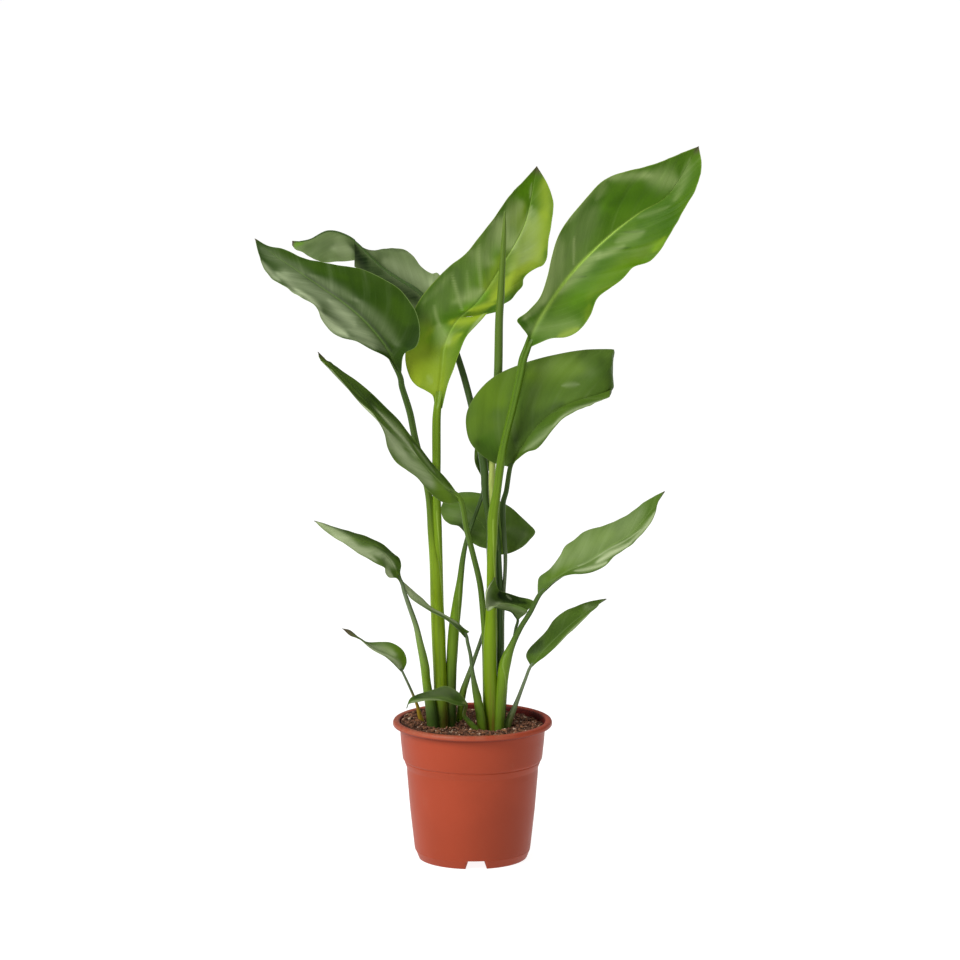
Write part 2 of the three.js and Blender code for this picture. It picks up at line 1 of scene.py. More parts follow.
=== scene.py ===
import math
import bpy
import numpy as np
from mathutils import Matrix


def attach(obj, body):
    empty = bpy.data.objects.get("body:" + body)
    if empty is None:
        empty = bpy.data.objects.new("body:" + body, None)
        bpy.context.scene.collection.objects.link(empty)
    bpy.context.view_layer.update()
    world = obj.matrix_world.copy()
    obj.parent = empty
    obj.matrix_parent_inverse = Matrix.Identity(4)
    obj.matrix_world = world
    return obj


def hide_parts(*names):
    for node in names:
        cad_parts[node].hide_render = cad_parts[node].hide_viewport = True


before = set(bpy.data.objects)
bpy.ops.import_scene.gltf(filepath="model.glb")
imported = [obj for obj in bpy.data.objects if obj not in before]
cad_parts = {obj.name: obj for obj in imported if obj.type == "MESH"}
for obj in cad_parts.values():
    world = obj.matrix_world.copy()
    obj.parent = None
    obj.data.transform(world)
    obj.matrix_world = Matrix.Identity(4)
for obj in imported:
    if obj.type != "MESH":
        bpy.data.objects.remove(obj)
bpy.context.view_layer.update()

# A bird of paradise in a terracotta coloured nursery pot. Shapes are worked out in
# millimetres and put into their meshes in metres. x runs right, y away, z up.

mm = 0.001
print("frame loaded,", len(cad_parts), "nodes")


def paint(red, green, blue):
    # a screen colour from 0 to 255 as the linear colour that the shaders use
    screen = np.array([red, green, blue]) / 255
    linear = np.where(screen <= 0.04045, screen / 12.92, ((screen + 0.055) / 1.055) ** 2.4)
    return (*[float(v) for v in linear], 1.0)


def smoothStep(low, high, value):
    # 0 below low, 1 above high, and 3t^2 - 2t^3 between them
    t = np.clip((value - low) / (high - low), 0, 1)
    return t * t * (3 - 2 * t)


def unit(vectors):
    # each vector divided by its length
    return vectors / np.maximum(np.linalg.norm(vectors, axis=-1, keepdims=True), 1e-9)


def curveThrough(rows, places):
    # A smooth curve through all rows, of cubics that pass each row in the direction from the
    # row before it to the row after it. Place 2.5 lies half way from row 2 to row 3.
    p = np.asarray(rows, float)
    q = np.vstack([2 * p[0] - p[1], p, 2 * p[-1] - p[-2]])
    i = np.clip(np.floor(places).astype(int), 0, len(p) - 2)
    t = (places - i)[:, None]
    a, b, c, d = q[i], q[i + 1], q[i + 2], q[i + 3]
    return 0.5 * (2 * b + (c - a) * t + (2 * a - 5 * b + 4 * c - d) * t ** 2
                  + (3 * b - a - 3 * c + d) * t ** 3)


def latticeNoise(x, y, cell, seed):
    # random heights from -1 to 1 on a square lattice, eased smoothly from point to point
    size = 96
    table = np.random.default_rng(seed).uniform(-1, 1, (size + 1, size + 1))
    u, v = x / cell + size / 2, y / cell + size / 2
    i, j = np.floor(u).astype(int), np.floor(v).astype(int)
    s, t = smoothStep(0, 1, u - i), smoothStep(0, 1, v - j)
    i, j = i % size, j % size
    low = table[i, j] * (1 - s) + table[i + 1, j] * s
    high = table[i, j + 1] * (1 - s) + table[i + 1, j + 1] * s
    return low * (1 - t) + high * t


def turnsRound(count):
    # equal turns round a full circle, in radians
    return np.linspace(0, 2 * math.pi, count, endpoint=False)


def ringsRound(radii, heights, turn):
    # points round the axis, a ring for each radius; heights are for each ring or for each point
    x, y = radii[:, None] * np.cos(turn), radii[:, None] * np.sin(turn)
    return np.stack([x, y, np.broadcast_to(heights, x.shape)], -1)


def gridQuads(rows, columns, closedRound=False):
    # one face between each two rows and each two columns of a grid of points
    i = np.arange(rows - 1)[:, None]
    j = np.arange(columns if closedRound else columns - 1)[None, :]
    a = i * columns + j
    b = i * columns + (j + 1) % columns
    return np.stack([a, b, b + columns, a + columns], -1).reshape(-1, 4)


def welded(points, quads):
    # points closer than 0.0001 mm become one; returns the kept points' places and the new faces
    _, first, inverse = np.unique(np.round(points, 4), axis=0, return_index=True, return_inverse=True)
    return first, inverse.reshape(-1)[quads]


def cleanFaces(quads):
    # a quad with two equal neighbours is a triangle, and one with more of them is nothing
    same = quads == np.roll(quads, -1, axis=1)
    count = same.sum(axis=1)
    crossed = (quads[:, 0] == quads[:, 2]) | (quads[:, 1] == quads[:, 3])
    whole = quads[(count == 0) & ~crossed]
    cut = quads[count == 1]
    triangles = cut[~same[count == 1]].reshape(-1, 3)
    return whole, triangles[(triangles != np.roll(triangles, 1, axis=1)).all(axis=1)]


def closedTube(rings, tips):
    # faces between rings of points, and a fan from each end ring to its tip
    count, sides = rings.shape[:2]
    k = np.arange(sides)
    after = (k + 1) % sides
    bottom, top = np.full(sides, count * sides), np.full(sides, count * sides + 1)
    last = (count - 1) * sides
    fans = [np.stack([after, k, bottom, bottom], -1), np.stack([last + k, last + after, top, top], -1)]
    quads = np.vstack([gridQuads(count, sides, closedRound=True)] + fans)
    return np.vstack([rings.reshape(-1, 3), tips]), quads


def pointNormals(points, quads):
    # at each point, the sum of the normals of the faces round it
    normals = np.zeros_like(points)
    a, b, c, d = (points[quads[:, k]] for k in range(4))
    faceNormals = np.cross(c - a, d - b)
    for k in range(4):
        np.add.at(normals, quads[:, k], faceNormals)
    return unit(normals)


def addObject(name, data):
    # a new object in the scene, at the origin
    thing = bpy.data.objects.new(name, data)
    bpy.context.scene.collection.objects.link(thing)
    return thing


def makePiece(name, parts, materials, node=None, sharp=50):
    # joins parts (points, quads, values at the points, number of the material) into one object
    points, faces, numbers, start = [], [], [], 0
    names = sorted({key for part in parts for key in part["values"]})
    values = {key: [] for key in names}
    for part in parts:
        first, quads = welded(part["points"], part["quads"])
        whole, triangles = cleanFaces(quads)
        faces += (whole + start).tolist() + (triangles + start).tolist()
        numbers += [part.get("material", 0)] * (len(whole) + len(triangles))
        points.append(part["points"][first])
        for key in names:
            given = part["values"].get(key)
            values[key].append(np.zeros(len(first)) if given is None else given[first])
        start += len(first)
    mesh = bpy.data.meshes.new(name)
    mesh.from_pydata((np.vstack(points) * mm).tolist(), [], faces)
    for key in names:
        layer = mesh.attributes.new(key, "FLOAT", "POINT")
        layer.data.foreach_set("value", np.concatenate(values[key]).astype(np.float32))
    for material in materials:
        mesh.materials.append(material)
    mesh.polygons.foreach_set("material_index", np.array(numbers, dtype=np.int32))
    mesh.polygons.foreach_set("use_smooth", np.ones(len(faces), dtype=bool))
    mesh.update()
    mesh.set_sharp_from_angle(angle=math.radians(sharp))
    piece = addObject(name, mesh)
    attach(piece, "root")
    if node:
        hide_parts(node)
    return piece


# short names for the sockets of a surface; inside is the light that wanders below it
socketNames = {
    "specular": "Specular IOR Level", "glow": "Emission Color", "glowStrength": "Emission Strength",
    "inside": "Subsurface Weight", "insideDepth": "Subsurface Scale", "insideColor": "Subsurface Radius",
}


class Nodes:
    # short ways to add and join the nodes of one material
    def __init__(self, name):
        self.material = bpy.data.materials.new(name)
        self.material.use_nodes = True
        self.tree = self.material.node_tree
        self.tree.nodes.clear()
        self.output = self.add("ShaderNodeOutputMaterial")

    def add(self, kind, **settings):
        node = self.tree.nodes.new(kind)
        for key, value in settings.items():
            setattr(node, key, value)
        return node

    def plug(self, value, socket):
        # joins another node's output, or sets a plain value
        if isinstance(value, bpy.types.NodeSocket):
            self.tree.links.new(value, socket)
        else:
            socket.default_value = value

    def value(self, name):
        # one of the values that the piece has at its points
        return self.add("ShaderNodeAttribute", attribute_name=name).outputs["Fac"]

    def place(self, axis):
        # the place along one axis of the object, in metres
        split = self.add("ShaderNodeSeparateXYZ")
        self.plug(self.add("ShaderNodeTexCoord").outputs["Object"], split.inputs[0])
        return split.outputs[axis]

    def math(self, operation, a, b=0.0, c=0.0):
        node = self.add("ShaderNodeMath", operation=operation)
        for socket, value in zip(node.inputs, (a, b, c)):
            self.plug(value, socket)
        return node.outputs[0]

    def times(self, a, b):
        return self.math("MULTIPLY", a, b)

    def ramp(self, value, low, high):
        # 0 where value is low, 1 where it is high, eased between
        node = self.add("ShaderNodeMapRange", interpolation_type="SMOOTHSTEP")
        for socket, given in zip(node.inputs, (value, low, high, 0.0, 1.0)):
            self.plug(given, socket)
        return node.outputs[0]

    def mix(self, share, a, b):
        # colour a where the share is 0 and b where it is 1
        node = self.add("ShaderNodeMix", data_type="RGBA")
        self.plug(share, node.inputs["Factor"])
        self.plug(a, node.inputs["A"])
        self.plug(b, node.inputs["B"])
        return node.outputs["Result"]

    def layers(self, color, *tints):
        # lays tints over a colour, one after the other; each is (share, strength, tint)
        for share, strength, tint in tints:
            color = self.mix(self.times(share, strength), color, tint)
        return color

    def clouds(self, place, scale, detail, roughness=0.5):
        # a cloudy pattern over the places that are plugged in
        node = self.add("ShaderNodeTexNoise")
        self.plug(place, node.inputs["Vector"])
        for name, value in (("Scale", scale), ("Detail", detail), ("Roughness", roughness)):
            node.inputs[name].default_value = value
        return node.outputs["Fac"]

    def noise(self, scale, detail, stretch=(1, 1, 1), roughness=0.5):
        # a cloudy pattern in the object's own space; scale is in cycles a metre
        mapping = self.add("ShaderNodeMapping")
        self.plug(self.add("ShaderNodeTexCoord").outputs["Object"], mapping.inputs["Vector"])
        mapping.inputs["Scale"].default_value = stretch
        return self.clouds(mapping.outputs[0], scale, detail, roughness)

    def streaks(self, across, along, scale, detail, stretch=0.14):
        # a cloudy pattern drawn out along lines of equal "across", in cycles a millimetre
        place = self.add("ShaderNodeCombineXYZ")
        self.plug(across, place.inputs[0])
        self.plug(self.times(along, stretch), place.inputs[1])
        return self.clouds(place.outputs[0], scale, detail)

    def bump(self, height, strength, distance):
        node = self.add("ShaderNodeBump")
        self.plug(height, node.inputs["Height"])
        node.inputs["Strength"].default_value = strength
        node.inputs["Distance"].default_value = distance
        return node.outputs[0]

    def surface(self, color, roughness, normal, **settings):
        # the finish, with settings by the short names above
        node = self.add("ShaderNodeBsdfPrincipled")
        self.plug(color, node.inputs["Base Color"])
        self.plug(roughness, node.inputs["Roughness"])
        if normal is not None:
            self.plug(normal, node.inputs["Normal"])
        for key, value in settings.items():
            node.inputs[socketNames[key]].default_value = value
        self.plug(node.outputs[0], self.output.inputs["Surface"])
        return node


# Sizes in millimetres; the heights of the dust and of the painted shade line under the rim in metres.
pot = {
    "rimRadius": 85.0, "height": 150.0, "footRadius": 58.3, "floorUnderside": 9.6, "floorThickness": 1.8,
    "notches": 4, "notchTurn": 4.0, "notchBelow": 23.0, "notchAbove": 17.0, "notchHeight": 8.9,
    "drainHoles": 6, "drainHoleRadius": 5.0, "drainCircleRadius": 40.0, "facets": 256, "sharp": 38,
    "sunny": paint(155, 62, 36), "shade": paint(144, 57, 32), "dust": paint(152, 92, 70),
    # the line and inside colours are painted shade: under the rim, and within the pot
    "line": paint(84, 30, 22), "inside": paint(84, 22, 20),
    "dustUpwards": (0.1450, 0.1475), "shadeLineFrom": (0.1405, 0.1436), "lineTo": (0.1462, 0.1446),
}


def roundedOutline(corners, cut, steps=4):
    # each corner becomes a short curve (1-t)^2 a + 2t(1-t) b + t^2 c between points near it
    p = np.array(corners, float)
    before, after = p[:-2] - p[1:-1], p[2:] - p[1:-1]
    limit = np.minimum(np.linalg.norm(before, axis=1), np.linalg.norm(after, axis=1)) * 0.45
    size = np.minimum(limit, cut)[:, None]
    a, c = p[1:-1] + unit(before) * size, p[1:-1] + unit(after) * size
    t = np.linspace(0, 1, steps)[None, :, None]
    arcs = (1 - t) ** 2 * a[:, None] + 2 * t * (1 - t) * p[1:-1, None] + t ** 2 * c[:, None]
    return np.vstack([p[:1], arcs.reshape(-1, 2), p[-1:]])


def potPoints():
    # The outline turned about the axis: floor, foot, body, shoulder, collar, rim, and down the
    # inside. Below the floor it is squeezed upwards inside the notches, which leaves openings
    # with slanted sides. The last third of it is the inside, which is marked for the painted shade
    # that darkens it.
    under, foot = pot["floorUnderside"], pot["footRadius"]
    floor = under + pot["floorThickness"]
    rim, top = pot["rimRadius"], pot["height"]
    insideFrom = 0.66
    corners = [
        (0, under), (30, under), (59, under), (56.4, 0), (foot, 0), (60.8, 6.5), (61.9, 9.0),
        (61.8, 10.0), (62.2, 11.8), (66.7, 52), (70, 92), (70.2, 98.6), (72.8, 105.4), (72.5, 106.2),
        (72.7, 106.9), (74.3, 107.9), (74.7, 110), (76.6, 128), (77.6, 143.2), (78.8, 144.2),
        (84.2, 144.2), (rim, 145.2), (rim, 147.6), (84.2, 149.3), (82.6, top), (79.4, top),
        (77.7, 148.9), (77.1, 146.6), (76.4, 140), (75, 128), (73.1, 110.4), (72.6, 108.6),
        (68.6, 99.8), (68.4, 92), (60, floor + 1), (59.4, floor), (30, floor), (0, floor)]
    outline = roundedOutline(corners, 0.9)
    low = math.asin(pot["notchBelow"] / 2 / foot)
    high = math.asin(pot["notchAbove"] / 2 / foot)
    centres = math.radians(pot["notchTurn"]) + np.arange(pot["notches"]) * 2 * math.pi / pot["notches"]
    exact = (centres[:, None] + np.array([-low, -high, high, low])).reshape(-1) % (2 * math.pi)
    turns = np.unique(np.round(np.concatenate([turnsRound(pot["facets"]), exact]), 6))
    away = np.abs((turns[:, None] - centres + math.pi) % (2 * math.pi) - math.pi).min(axis=1)
    lift = pot["notchHeight"] * np.clip((low - away) / (low - high), 0, 1)
    radius, height = outline[:, 0], outline[:, 1]
    share = np.clip(1 - height / under, 0, 1)
    points = ringsRound(radius, height[:, None] + share[:, None] * lift, turns)
    quads = gridQuads(len(outline), len(turns), closedRound=True)[:, ::-1]
    # painted shade: the inside wall and floor are marked to be darkened, fading out just below the rim's
    # top
    inside = (np.arange(len(outline)) > len(outline) * insideFrom) * smoothStep(149.9, 148.2, height)
    inner = np.repeat(inside, len(turns))
    return {"points": points.reshape(-1, 3), "quads": quads, "values": {"inner": inner}}


def cutDrainHoles(piece):
    # round holes through the floor, by cylinders from below it to above it
    reach = (5.0, 16.0)
    turn = turnsRound(40)
    k = np.arange(len(turn))
    points, faces = [], []
    for hole in range(pot["drainHoles"]):
        angle = 2 * math.pi * hole / pot["drainHoles"]
        x = pot["drainCircleRadius"] * math.cos(angle) + pot["drainHoleRadius"] * np.cos(turn)
        y = pot["drainCircleRadius"] * math.sin(angle) + pot["drainHoleRadius"] * np.sin(turn)
        start = len(turn) * 2 * hole
        for z in reach:
            points.append(np.stack([x, y, np.full(len(turn), z)], -1))
        after = (k + 1) % len(turn)
        side = np.stack([k, after, after + len(turn), k + len(turn)], -1)
        faces += (side + start).tolist() + [(k[::-1] + start).tolist(), (k + start + len(turn)).tolist()]
    mesh = bpy.data.meshes.new("drain_cutter")
    mesh.from_pydata((np.vstack(points) * mm).tolist(), [], faces)
    cutter = addObject("drain_cutter", mesh)
    cut = piece.modifiers.new("drain", "BOOLEAN")
    cut.object, cut.operation, cut.solver = cutter, "DIFFERENCE", "EXACT"
    changed = piece.evaluated_get(bpy.context.evaluated_depsgraph_get())
    result = bpy.data.meshes.new_from_object(changed)
    piece.modifiers.clear()
    piece.data = result
    bpy.data.objects.remove(cutter)
    result.set_sharp_from_angle(angle=math.radians(pot["sharp"]))


def potMaterial():
    # satin moulded plastic: faint clouds, fine grain, scuffs, dust on the rim only on its lit left
    # half so that the shaded right half stays darker (painted light), a dark line of painted shade
    # where the rim meets the collar, and painted shade on the inside
    n = Nodes("terracotta plastic")
    cloud, grain = n.noise(9, 3.0), n.noise(1800, 2.0)
    scuff = n.noise(70, 4.0, (1, 1, 0.3), 0.65)
    height = n.place("Z")
    dustOnLitSide = n.times(n.ramp(height, *pot["dustUpwards"]), n.ramp(scuff, 0.25, 0.6))
    # painted light: the paler dust lies only on the rim's lit left half, so the shaded right half stays
    # darker
    dustOnLitSide = n.times(dustOnLitSide, n.ramp(n.place("X"), 0.08, -0.01))
    # painted shade: a dark line where the rim overhangs the collar
    line = n.times(n.ramp(height, *pot["shadeLineFrom"]), n.ramp(height, *pot["lineTo"]))
    color = n.mix(n.ramp(cloud, 0.3, 0.7), pot["sunny"], pot["shade"])
    color = n.layers(color, (n.ramp(scuff, 0.6, 0.75), 0.12, pot["dust"]), (dustOnLitSide, 0.6, pot["dust"]),
                     # painted shade: the inside of the pot is darkened
                     (line, 0.6, pot["line"]), (n.value("inner"), 0.9, pot["inside"]))
    rough = n.math("MULTIPLY_ADD", scuff, 0.16, 0.36)
    relief = n.math("MULTIPLY_ADD", grain, 0.5, n.times(scuff, 0.5))
    n.surface(color, rough, n.bump(relief, 0.25, 0.0001), specular=0.16,
              inside=0.06, insideDepth=0.003, insideColor=(1.0, 0.4, 0.2))
    return n.material


potPiece = makePiece("pot_moulding", [potPoints()], [potMaterial()], "pot", pot["sharp"])
cutDrainHoles(potPiece)
print("pot done,", len(potPiece.data.polygons), "faces")


# A hollow is (x, y, width, depth). Grains are as flat as the two shares say, of their width.
soil = {
    "level": 146, "slopes": (-0.05, -0.02), "hollows": [(-33, -4, 26, 8.5), (18, -12, 20, 7)],
    "radius": 76.3, "seed": 5, "dark": paint(38, 23, 15), "brown": paint(148, 100, 74),
}
grains = {
    "soil_crumbs": {
        "count": 2100, "sizes": (0.7, 2.4), "flat": (0.5, 0.9),
        "material": "peat crumbs", "dark": soil["dark"], "light": soil["brown"]},
    "bark_chips": {
        "count": 190, "sizes": (1.6, 4.2), "flat": (0.2, 0.4),
        "material": "bark", "dark": paint(84, 50, 32), "light": paint(150, 104, 70)},
    "pale_grains": {
        "count": 420, "sizes": (0.5, 1.9), "flat": (0.6, 0.9),
        "material": "pale grains", "dark": paint(150, 128, 100), "light": paint(208, 178, 158)},
}


def soilHeight(x, y):
    # a slope with low humps, lumps of three sizes on top, and a hollow round each clump of
    # stalks that is depth * exp(-(distance / width)^2) deep
    humps = 1.2 * np.sin(x / 9 + 1) * np.cos(y / 8) + 0.8 * np.sin(x / 4.3 - y / 5.1)
    lumps = (0.9 * latticeNoise(x, y, 6.0, soil["seed"]) + 0.6 * latticeNoise(x, y, 2.6, soil["seed"] + 1)
             + 0.35 * latticeNoise(x, y, 1.1, soil["seed"] + 2))
    slopeX, slopeY = soil["slopes"]
    height = soil["level"] + slopeX * x + slopeY * y + humps + lumps
    for middleX, middleY, width, depth in soil["hollows"]:
        height = height - depth * np.exp(-((x - middleX) ** 2 + (y - middleY) ** 2) / width ** 2)
    return height


def soilBed():
    # rings of the surface from the middle to the wall, then down the wall to the pot's floor
    around = 300
    turn = turnsRound(around)
    surface = ringsRound(np.sqrt(np.linspace(0, 1, 110)) * soil["radius"], 0.0, turn)
    surface[..., 2] = soilHeight(surface[..., 0], surface[..., 1])
    side = np.array([(74.4, 126), (72.5, 110.4), (72.0, 108.6), (68, 99.8), (67.9, 92), (59.5, 13.5),
                     (58.6, 11.9), (0, 11.9)])
    points = np.concatenate([surface, ringsRound(side[:, 0], side[:, 1:], turn)])
    quads = gridQuads(len(points), around, closedRound=True)
    return {"points": points.reshape(-1, 3), "quads": quads, "values": {}}


def pebbles(grain, seed):
    # Small irregular balls: a coarse sphere whose points move in and out by random amounts,
    # tilted and turned by random angles, and laid on the soil, sunk into it by a part of their
    # height and clear of the wall.
    rng = np.random.default_rng(seed)
    rows, around, sunk = 5, 7, 0.3
    count, (low, high) = grain["count"], grain["sizes"]
    v = np.linspace(0, math.pi, rows)
    ball = ringsRound(np.sin(v), np.cos(v)[:, None], turnsRound(around)).reshape(-1, 3)
    bumpy = rng.uniform(0.72, 1.2, (count, rows * around))
    bumpy[:, :around] = bumpy[:, :1]  # each pole stays one point
    bumpy[:, -around:] = bumpy[:, -1:]
    size = low * (high / low) ** rng.uniform(0, 1, count) ** 1.4
    narrow, flat = rng.uniform(0.5, 0.95, count), rng.uniform(*grain["flat"], count)
    shape = np.stack([np.ones(count), narrow, flat], -1)
    local = ball[None] * bumpy[..., None] * shape[:, None] * size[:, None, None]
    a, b = rng.uniform(0, 2 * math.pi, (2, count))
    tilt = rng.normal(0, 0.45, count)
    y1 = local[..., 1] * np.cos(tilt)[:, None] - local[..., 2] * np.sin(tilt)[:, None]
    z1 = local[..., 1] * np.sin(tilt)[:, None] + local[..., 2] * np.cos(tilt)[:, None]
    x2 = local[..., 0] * np.cos(a)[:, None] - y1 * np.sin(a)[:, None]
    y2 = local[..., 0] * np.sin(a)[:, None] + y1 * np.cos(a)[:, None]
    far = (soil["radius"] - 0.4 - 0.7 * size) * np.sqrt(rng.uniform(0, 1, count))
    x, y = far * np.cos(b), far * np.sin(b)
    z = soilHeight(x, y) + size * shape[:, 2] * (1 - 2 * sunk)
    points = np.stack([x2 + x[:, None], y2 + y[:, None], z1 + z[:, None]], -1).reshape(-1, 3)
    one = gridQuads(rows, around, closedRound=True)[:, ::-1]
    quads = (one[None] + (np.arange(count) * rows * around)[:, None, None]).reshape(-1, 4)
    tone = np.repeat(rng.uniform(0, 1, count), rows * around)
    return {"points": points, "quads": quads, "values": {"tone": tone}}


def soilMaterial(name, dark, light):
    # each grain has a tone of its own between dark and light, with fine spots on it
    n = Nodes(name)
    spots, dust = n.noise(520, 4.0, roughness=0.7), n.noise(150, 2.0)
    share = n.math("MULTIPLY_ADD", n.value("tone"), 0.55, n.times(n.ramp(spots, 0.35, 0.75), 0.6))
    color = n.layers(n.mix(share, dark, light), (n.ramp(dust, 0.55, 0.8), 0.3, dark))
    n.surface(color, 0.9, n.bump(spots, 0.8, 0.0006), specular=0.25)
    return n.material


peat = soilMaterial("moist peat", soil["dark"], soil["brown"])
makePiece("soil_bed", [soilBed()], [peat], "soil")
for number, (name, grain) in enumerate(grains.items()):
    grainMaterial = soilMaterial(grain["material"], grain["dark"], grain["light"])
    makePiece(name, [pebbles(grain, soil["seed"] + 3 + number)], [grainMaterial])
print("soil done")


# Lengths are in millimetres, the sag is a share of the half's width, the channel and the columns
# near the rib are in radii of the rib. The pairs of counts are for large and for small leaves:
# rows for each step from one row of the midrib to the next, and columns for each half.
bladeShape = {
    "thickness": 0.6, "thicknessAtMargin": 0.35, "ribAtTip": 0.45, "sag": 0.05, "veinLean": 0.9,
    "foldHeight": 0.8, "foldLengths": (22, 7.5), "rippleHeight": 0.4, "rippleLengths": (37, 17),
    "channelDepth": 0.55, "channelWidth": 0.8, "nearRib": (0, 0.4, 0.8, 1.2, 1.7),
    "rowsPerStep": (20, 14), "columns": (32, 16), "largeFrom": 7,
}
# The channel and the sheath's step shrink towards the foot and the top. The sheath's edge starts
# at a turn in radians and ends part of the way up. A stalk with a thicker foot has more sides.
stalkShape = {
    "channelDepth": 0.2, "channelWidth": 0.5, "ribSink": 0.85, "sheathLength": 0.5, "sheathTurn": 2.6,
    "sheathStep": 0.5, "seamWidth": 0.16, "rowsPerStep": 12, "ribRowsPerStep": (14, 9),
    "sides": (40, 24), "thickFrom": 4,
}
leafFinish = {
    "veinPitch": 6.5, "hairPitch": 1.3, "dryFrom": 0.97, "dryTip": paint(80, 70, 54),
    "bloom": paint(122, 134, 104), "ochre": paint(150, 122, 30), "stain": paint(120, 70, 36),
}
# the brush strokes: gold and lush are partly painted light, then painted shade and painted sheen
tints = ("gold", "lush", "deep", "pale")

# The three looks of a leaf, dark, fresh and middle: colours of the blade's upper side, underside,
# rib, side veins and margin, of the brush strokes on it (painted sheen, painted shade, and gold and
# lush, yellow-green and saturated green that are partly painted light), of the light through it
# (glow) and of the parts of its stalk, and then the shares of some of them: sheen and shadow are
# the shares of painted sheen and painted shade in the broad streaks.
lookRows = {
    "upper": [(50, 76, 8), (76, 112, 14), (84, 112, 34)],
    "upperDeep": [(40, 66, 6), (60, 98, 6), (72, 100, 30)],
    "under": [(108, 124, 84), (120, 142, 66), (106, 122, 78)],
    "underDeep": [(88, 108, 62), (102, 126, 50), (88, 108, 58)],
    "rib": [(104, 136, 60), (164, 198, 86), (124, 152, 76)],
    "vein": [(70, 98, 34), (112, 142, 54), (98, 126, 52)],
    "margin": [(120, 144, 78), (142, 168, 70), (112, 130, 72)],
    # painted sheen: the pale grey-green of light reflected off the blade
    "pale": [(184, 198, 154), (152, 172, 106), (172, 186, 140)],
    # painted shade: the dark green where the blade lies in shade
    "deep": [(18, 40, 2), (36, 70, 0), (20, 42, 0)],
    # yellow-green of the young blade, partly painted light shining through it and on faces turned from the
    # lamps
    "gold": [(64, 96, 4), (150, 172, 38), (104, 136, 24)],
    # saturated green, partly painted light on faces turned from the lamps
    "lush": [(66, 118, 6), (100, 150, 4), (84, 130, 12)],
    "glow": [(70, 120, 10), (150, 180, 4), (100, 140, 14)],
    "young": [(122, 150, 6), (112, 140, 8), (106, 138, 18)],
    "stalk": [(60, 84, 30), (72, 102, 16), (58, 80, 34)],
    "underRib": [(104, 130, 70), (130, 160, 60), (96, 120, 58)],
    "streak": [(46, 70, 20), (84, 114, 18), (60, 84, 26)],
    "seam": [(132, 158, 84), (160, 184, 90), (144, 166, 92)],
    "glowShare": [0.08, 0.18, 0.12],
    "sheen": [0.08, 0.16, 0.09],
    "shadow": [0.3, 0.28, 0.26],
    "roughness": [0.42, 0.42, 0.44],
}
looks = {}
for column, name in enumerate(("dark", "fresh", "middle")):
    picked = {key: row[column] for key, row in lookRows.items()}
    looks[name] = {key: paint(*v) if isinstance(v, tuple) else v for key, v in picked.items()}


# Rows of each leaf, in millimetres. A row of the stalk has its radius too. Left and right are the
# margins; a half that is torn across has several, each after the stretch of the midrib, in rows,
# that it runs beside. The lists of shares run from foot to tip: of the blade for ribShow, of the
# stalk for young (yellow-green) and bloom (pale wax). The brush strokes have two ends, each the
# distance up the midrib and sideways from it, a width and a strength: painted sheen, painted shade,
# and gold and lush, yellow-green and saturated green that are partly painted light. The blade's tip
# is dry from dryFrom, a part of its length, and the stalk's foot can have a tint; footShade is
# painted shade below a leaf that shades it.
leaves = {}
leaves["upper_left"] = {
    "look": "dark", "ribShow": [0.5, 0.8, 0.8, 0.7, 0.5, 0.1],
    "young": [0.2, 0.3, 0.9, 0.95, 0.9, 0.7, 0.35, 0.1, 0.05, 0, 0], "footStain": 0.7, "footShade": 0.1,
    "stalk": [(-33,4,104,9.4), (-34,4,146,9), (-34,5,181,7.3), (-36,5,235,7.4), (-38,5,279,6.9),
        (-39,5,316,6.6), (-43,5,349,4.4), (-47,5,396,3.8), (-60,5,450,3.6), (-66,4,480,3.6),
        (-74,2,507,3.3)],
    "midrib": [(-77,1,521), (-91,-4,551), (-111,-8,577), (-133,-10,597), (-161,-10,617), (-187,-8,635),
        (-210,-3,650), (-228,4,665)],
    "left": [(-78,0,521), (-88,-13,540), (-106,-26,552), (-121,-34,561), (-136,-42,566), (-148,-46,574),
        (-157,-50,588), (-163,-50,600), (-176,-50,609), (-187,-46,614), (-196,-42,621), (-209,-33,627),
        (-218,-24,638), (-224,-10,652), (-228,4,665)],
    "right": [(-75,1,522), (-72,-2,543), (-59,-4,552), (-55,-2,567), (-58,-1,585), (-66,1,599),
        (-77,3,612), (-95,4,623), (-115,6,632), (-137,6,636), (-159,5,640), (-179,4,645), (-198,3,654),
        (-214,4,657), (-228,4,665)],
    "pale": [(101,-44,67,-35,9,0.95), (146,-30,100,-43,7,0.75), (65,-37,34,-20,6,0.3),
        (194,-20,170,-31,5,0.5), (174,-20,136,-34,7,0.45), (160,-39,134,-43,5,0.55),
        (110,-12,73,-13,8,0.4), (70,-23,30,-2,9,0.2), (146,6,98,13,7,0.16), (98,13,37,12,8,0.14),
        (202,-5,146,6,9,0.12), (167,-14,40,-16,15,0.35)],
    "deep": [(28,3,150,1.6,2.6,0.8), (34,23,54,44,9,0.5), (131,42,95,54,8,0.15)],
    "gold": [(171,15,129,29,9,0.25), (86,46,59,36,8,0.25)]}
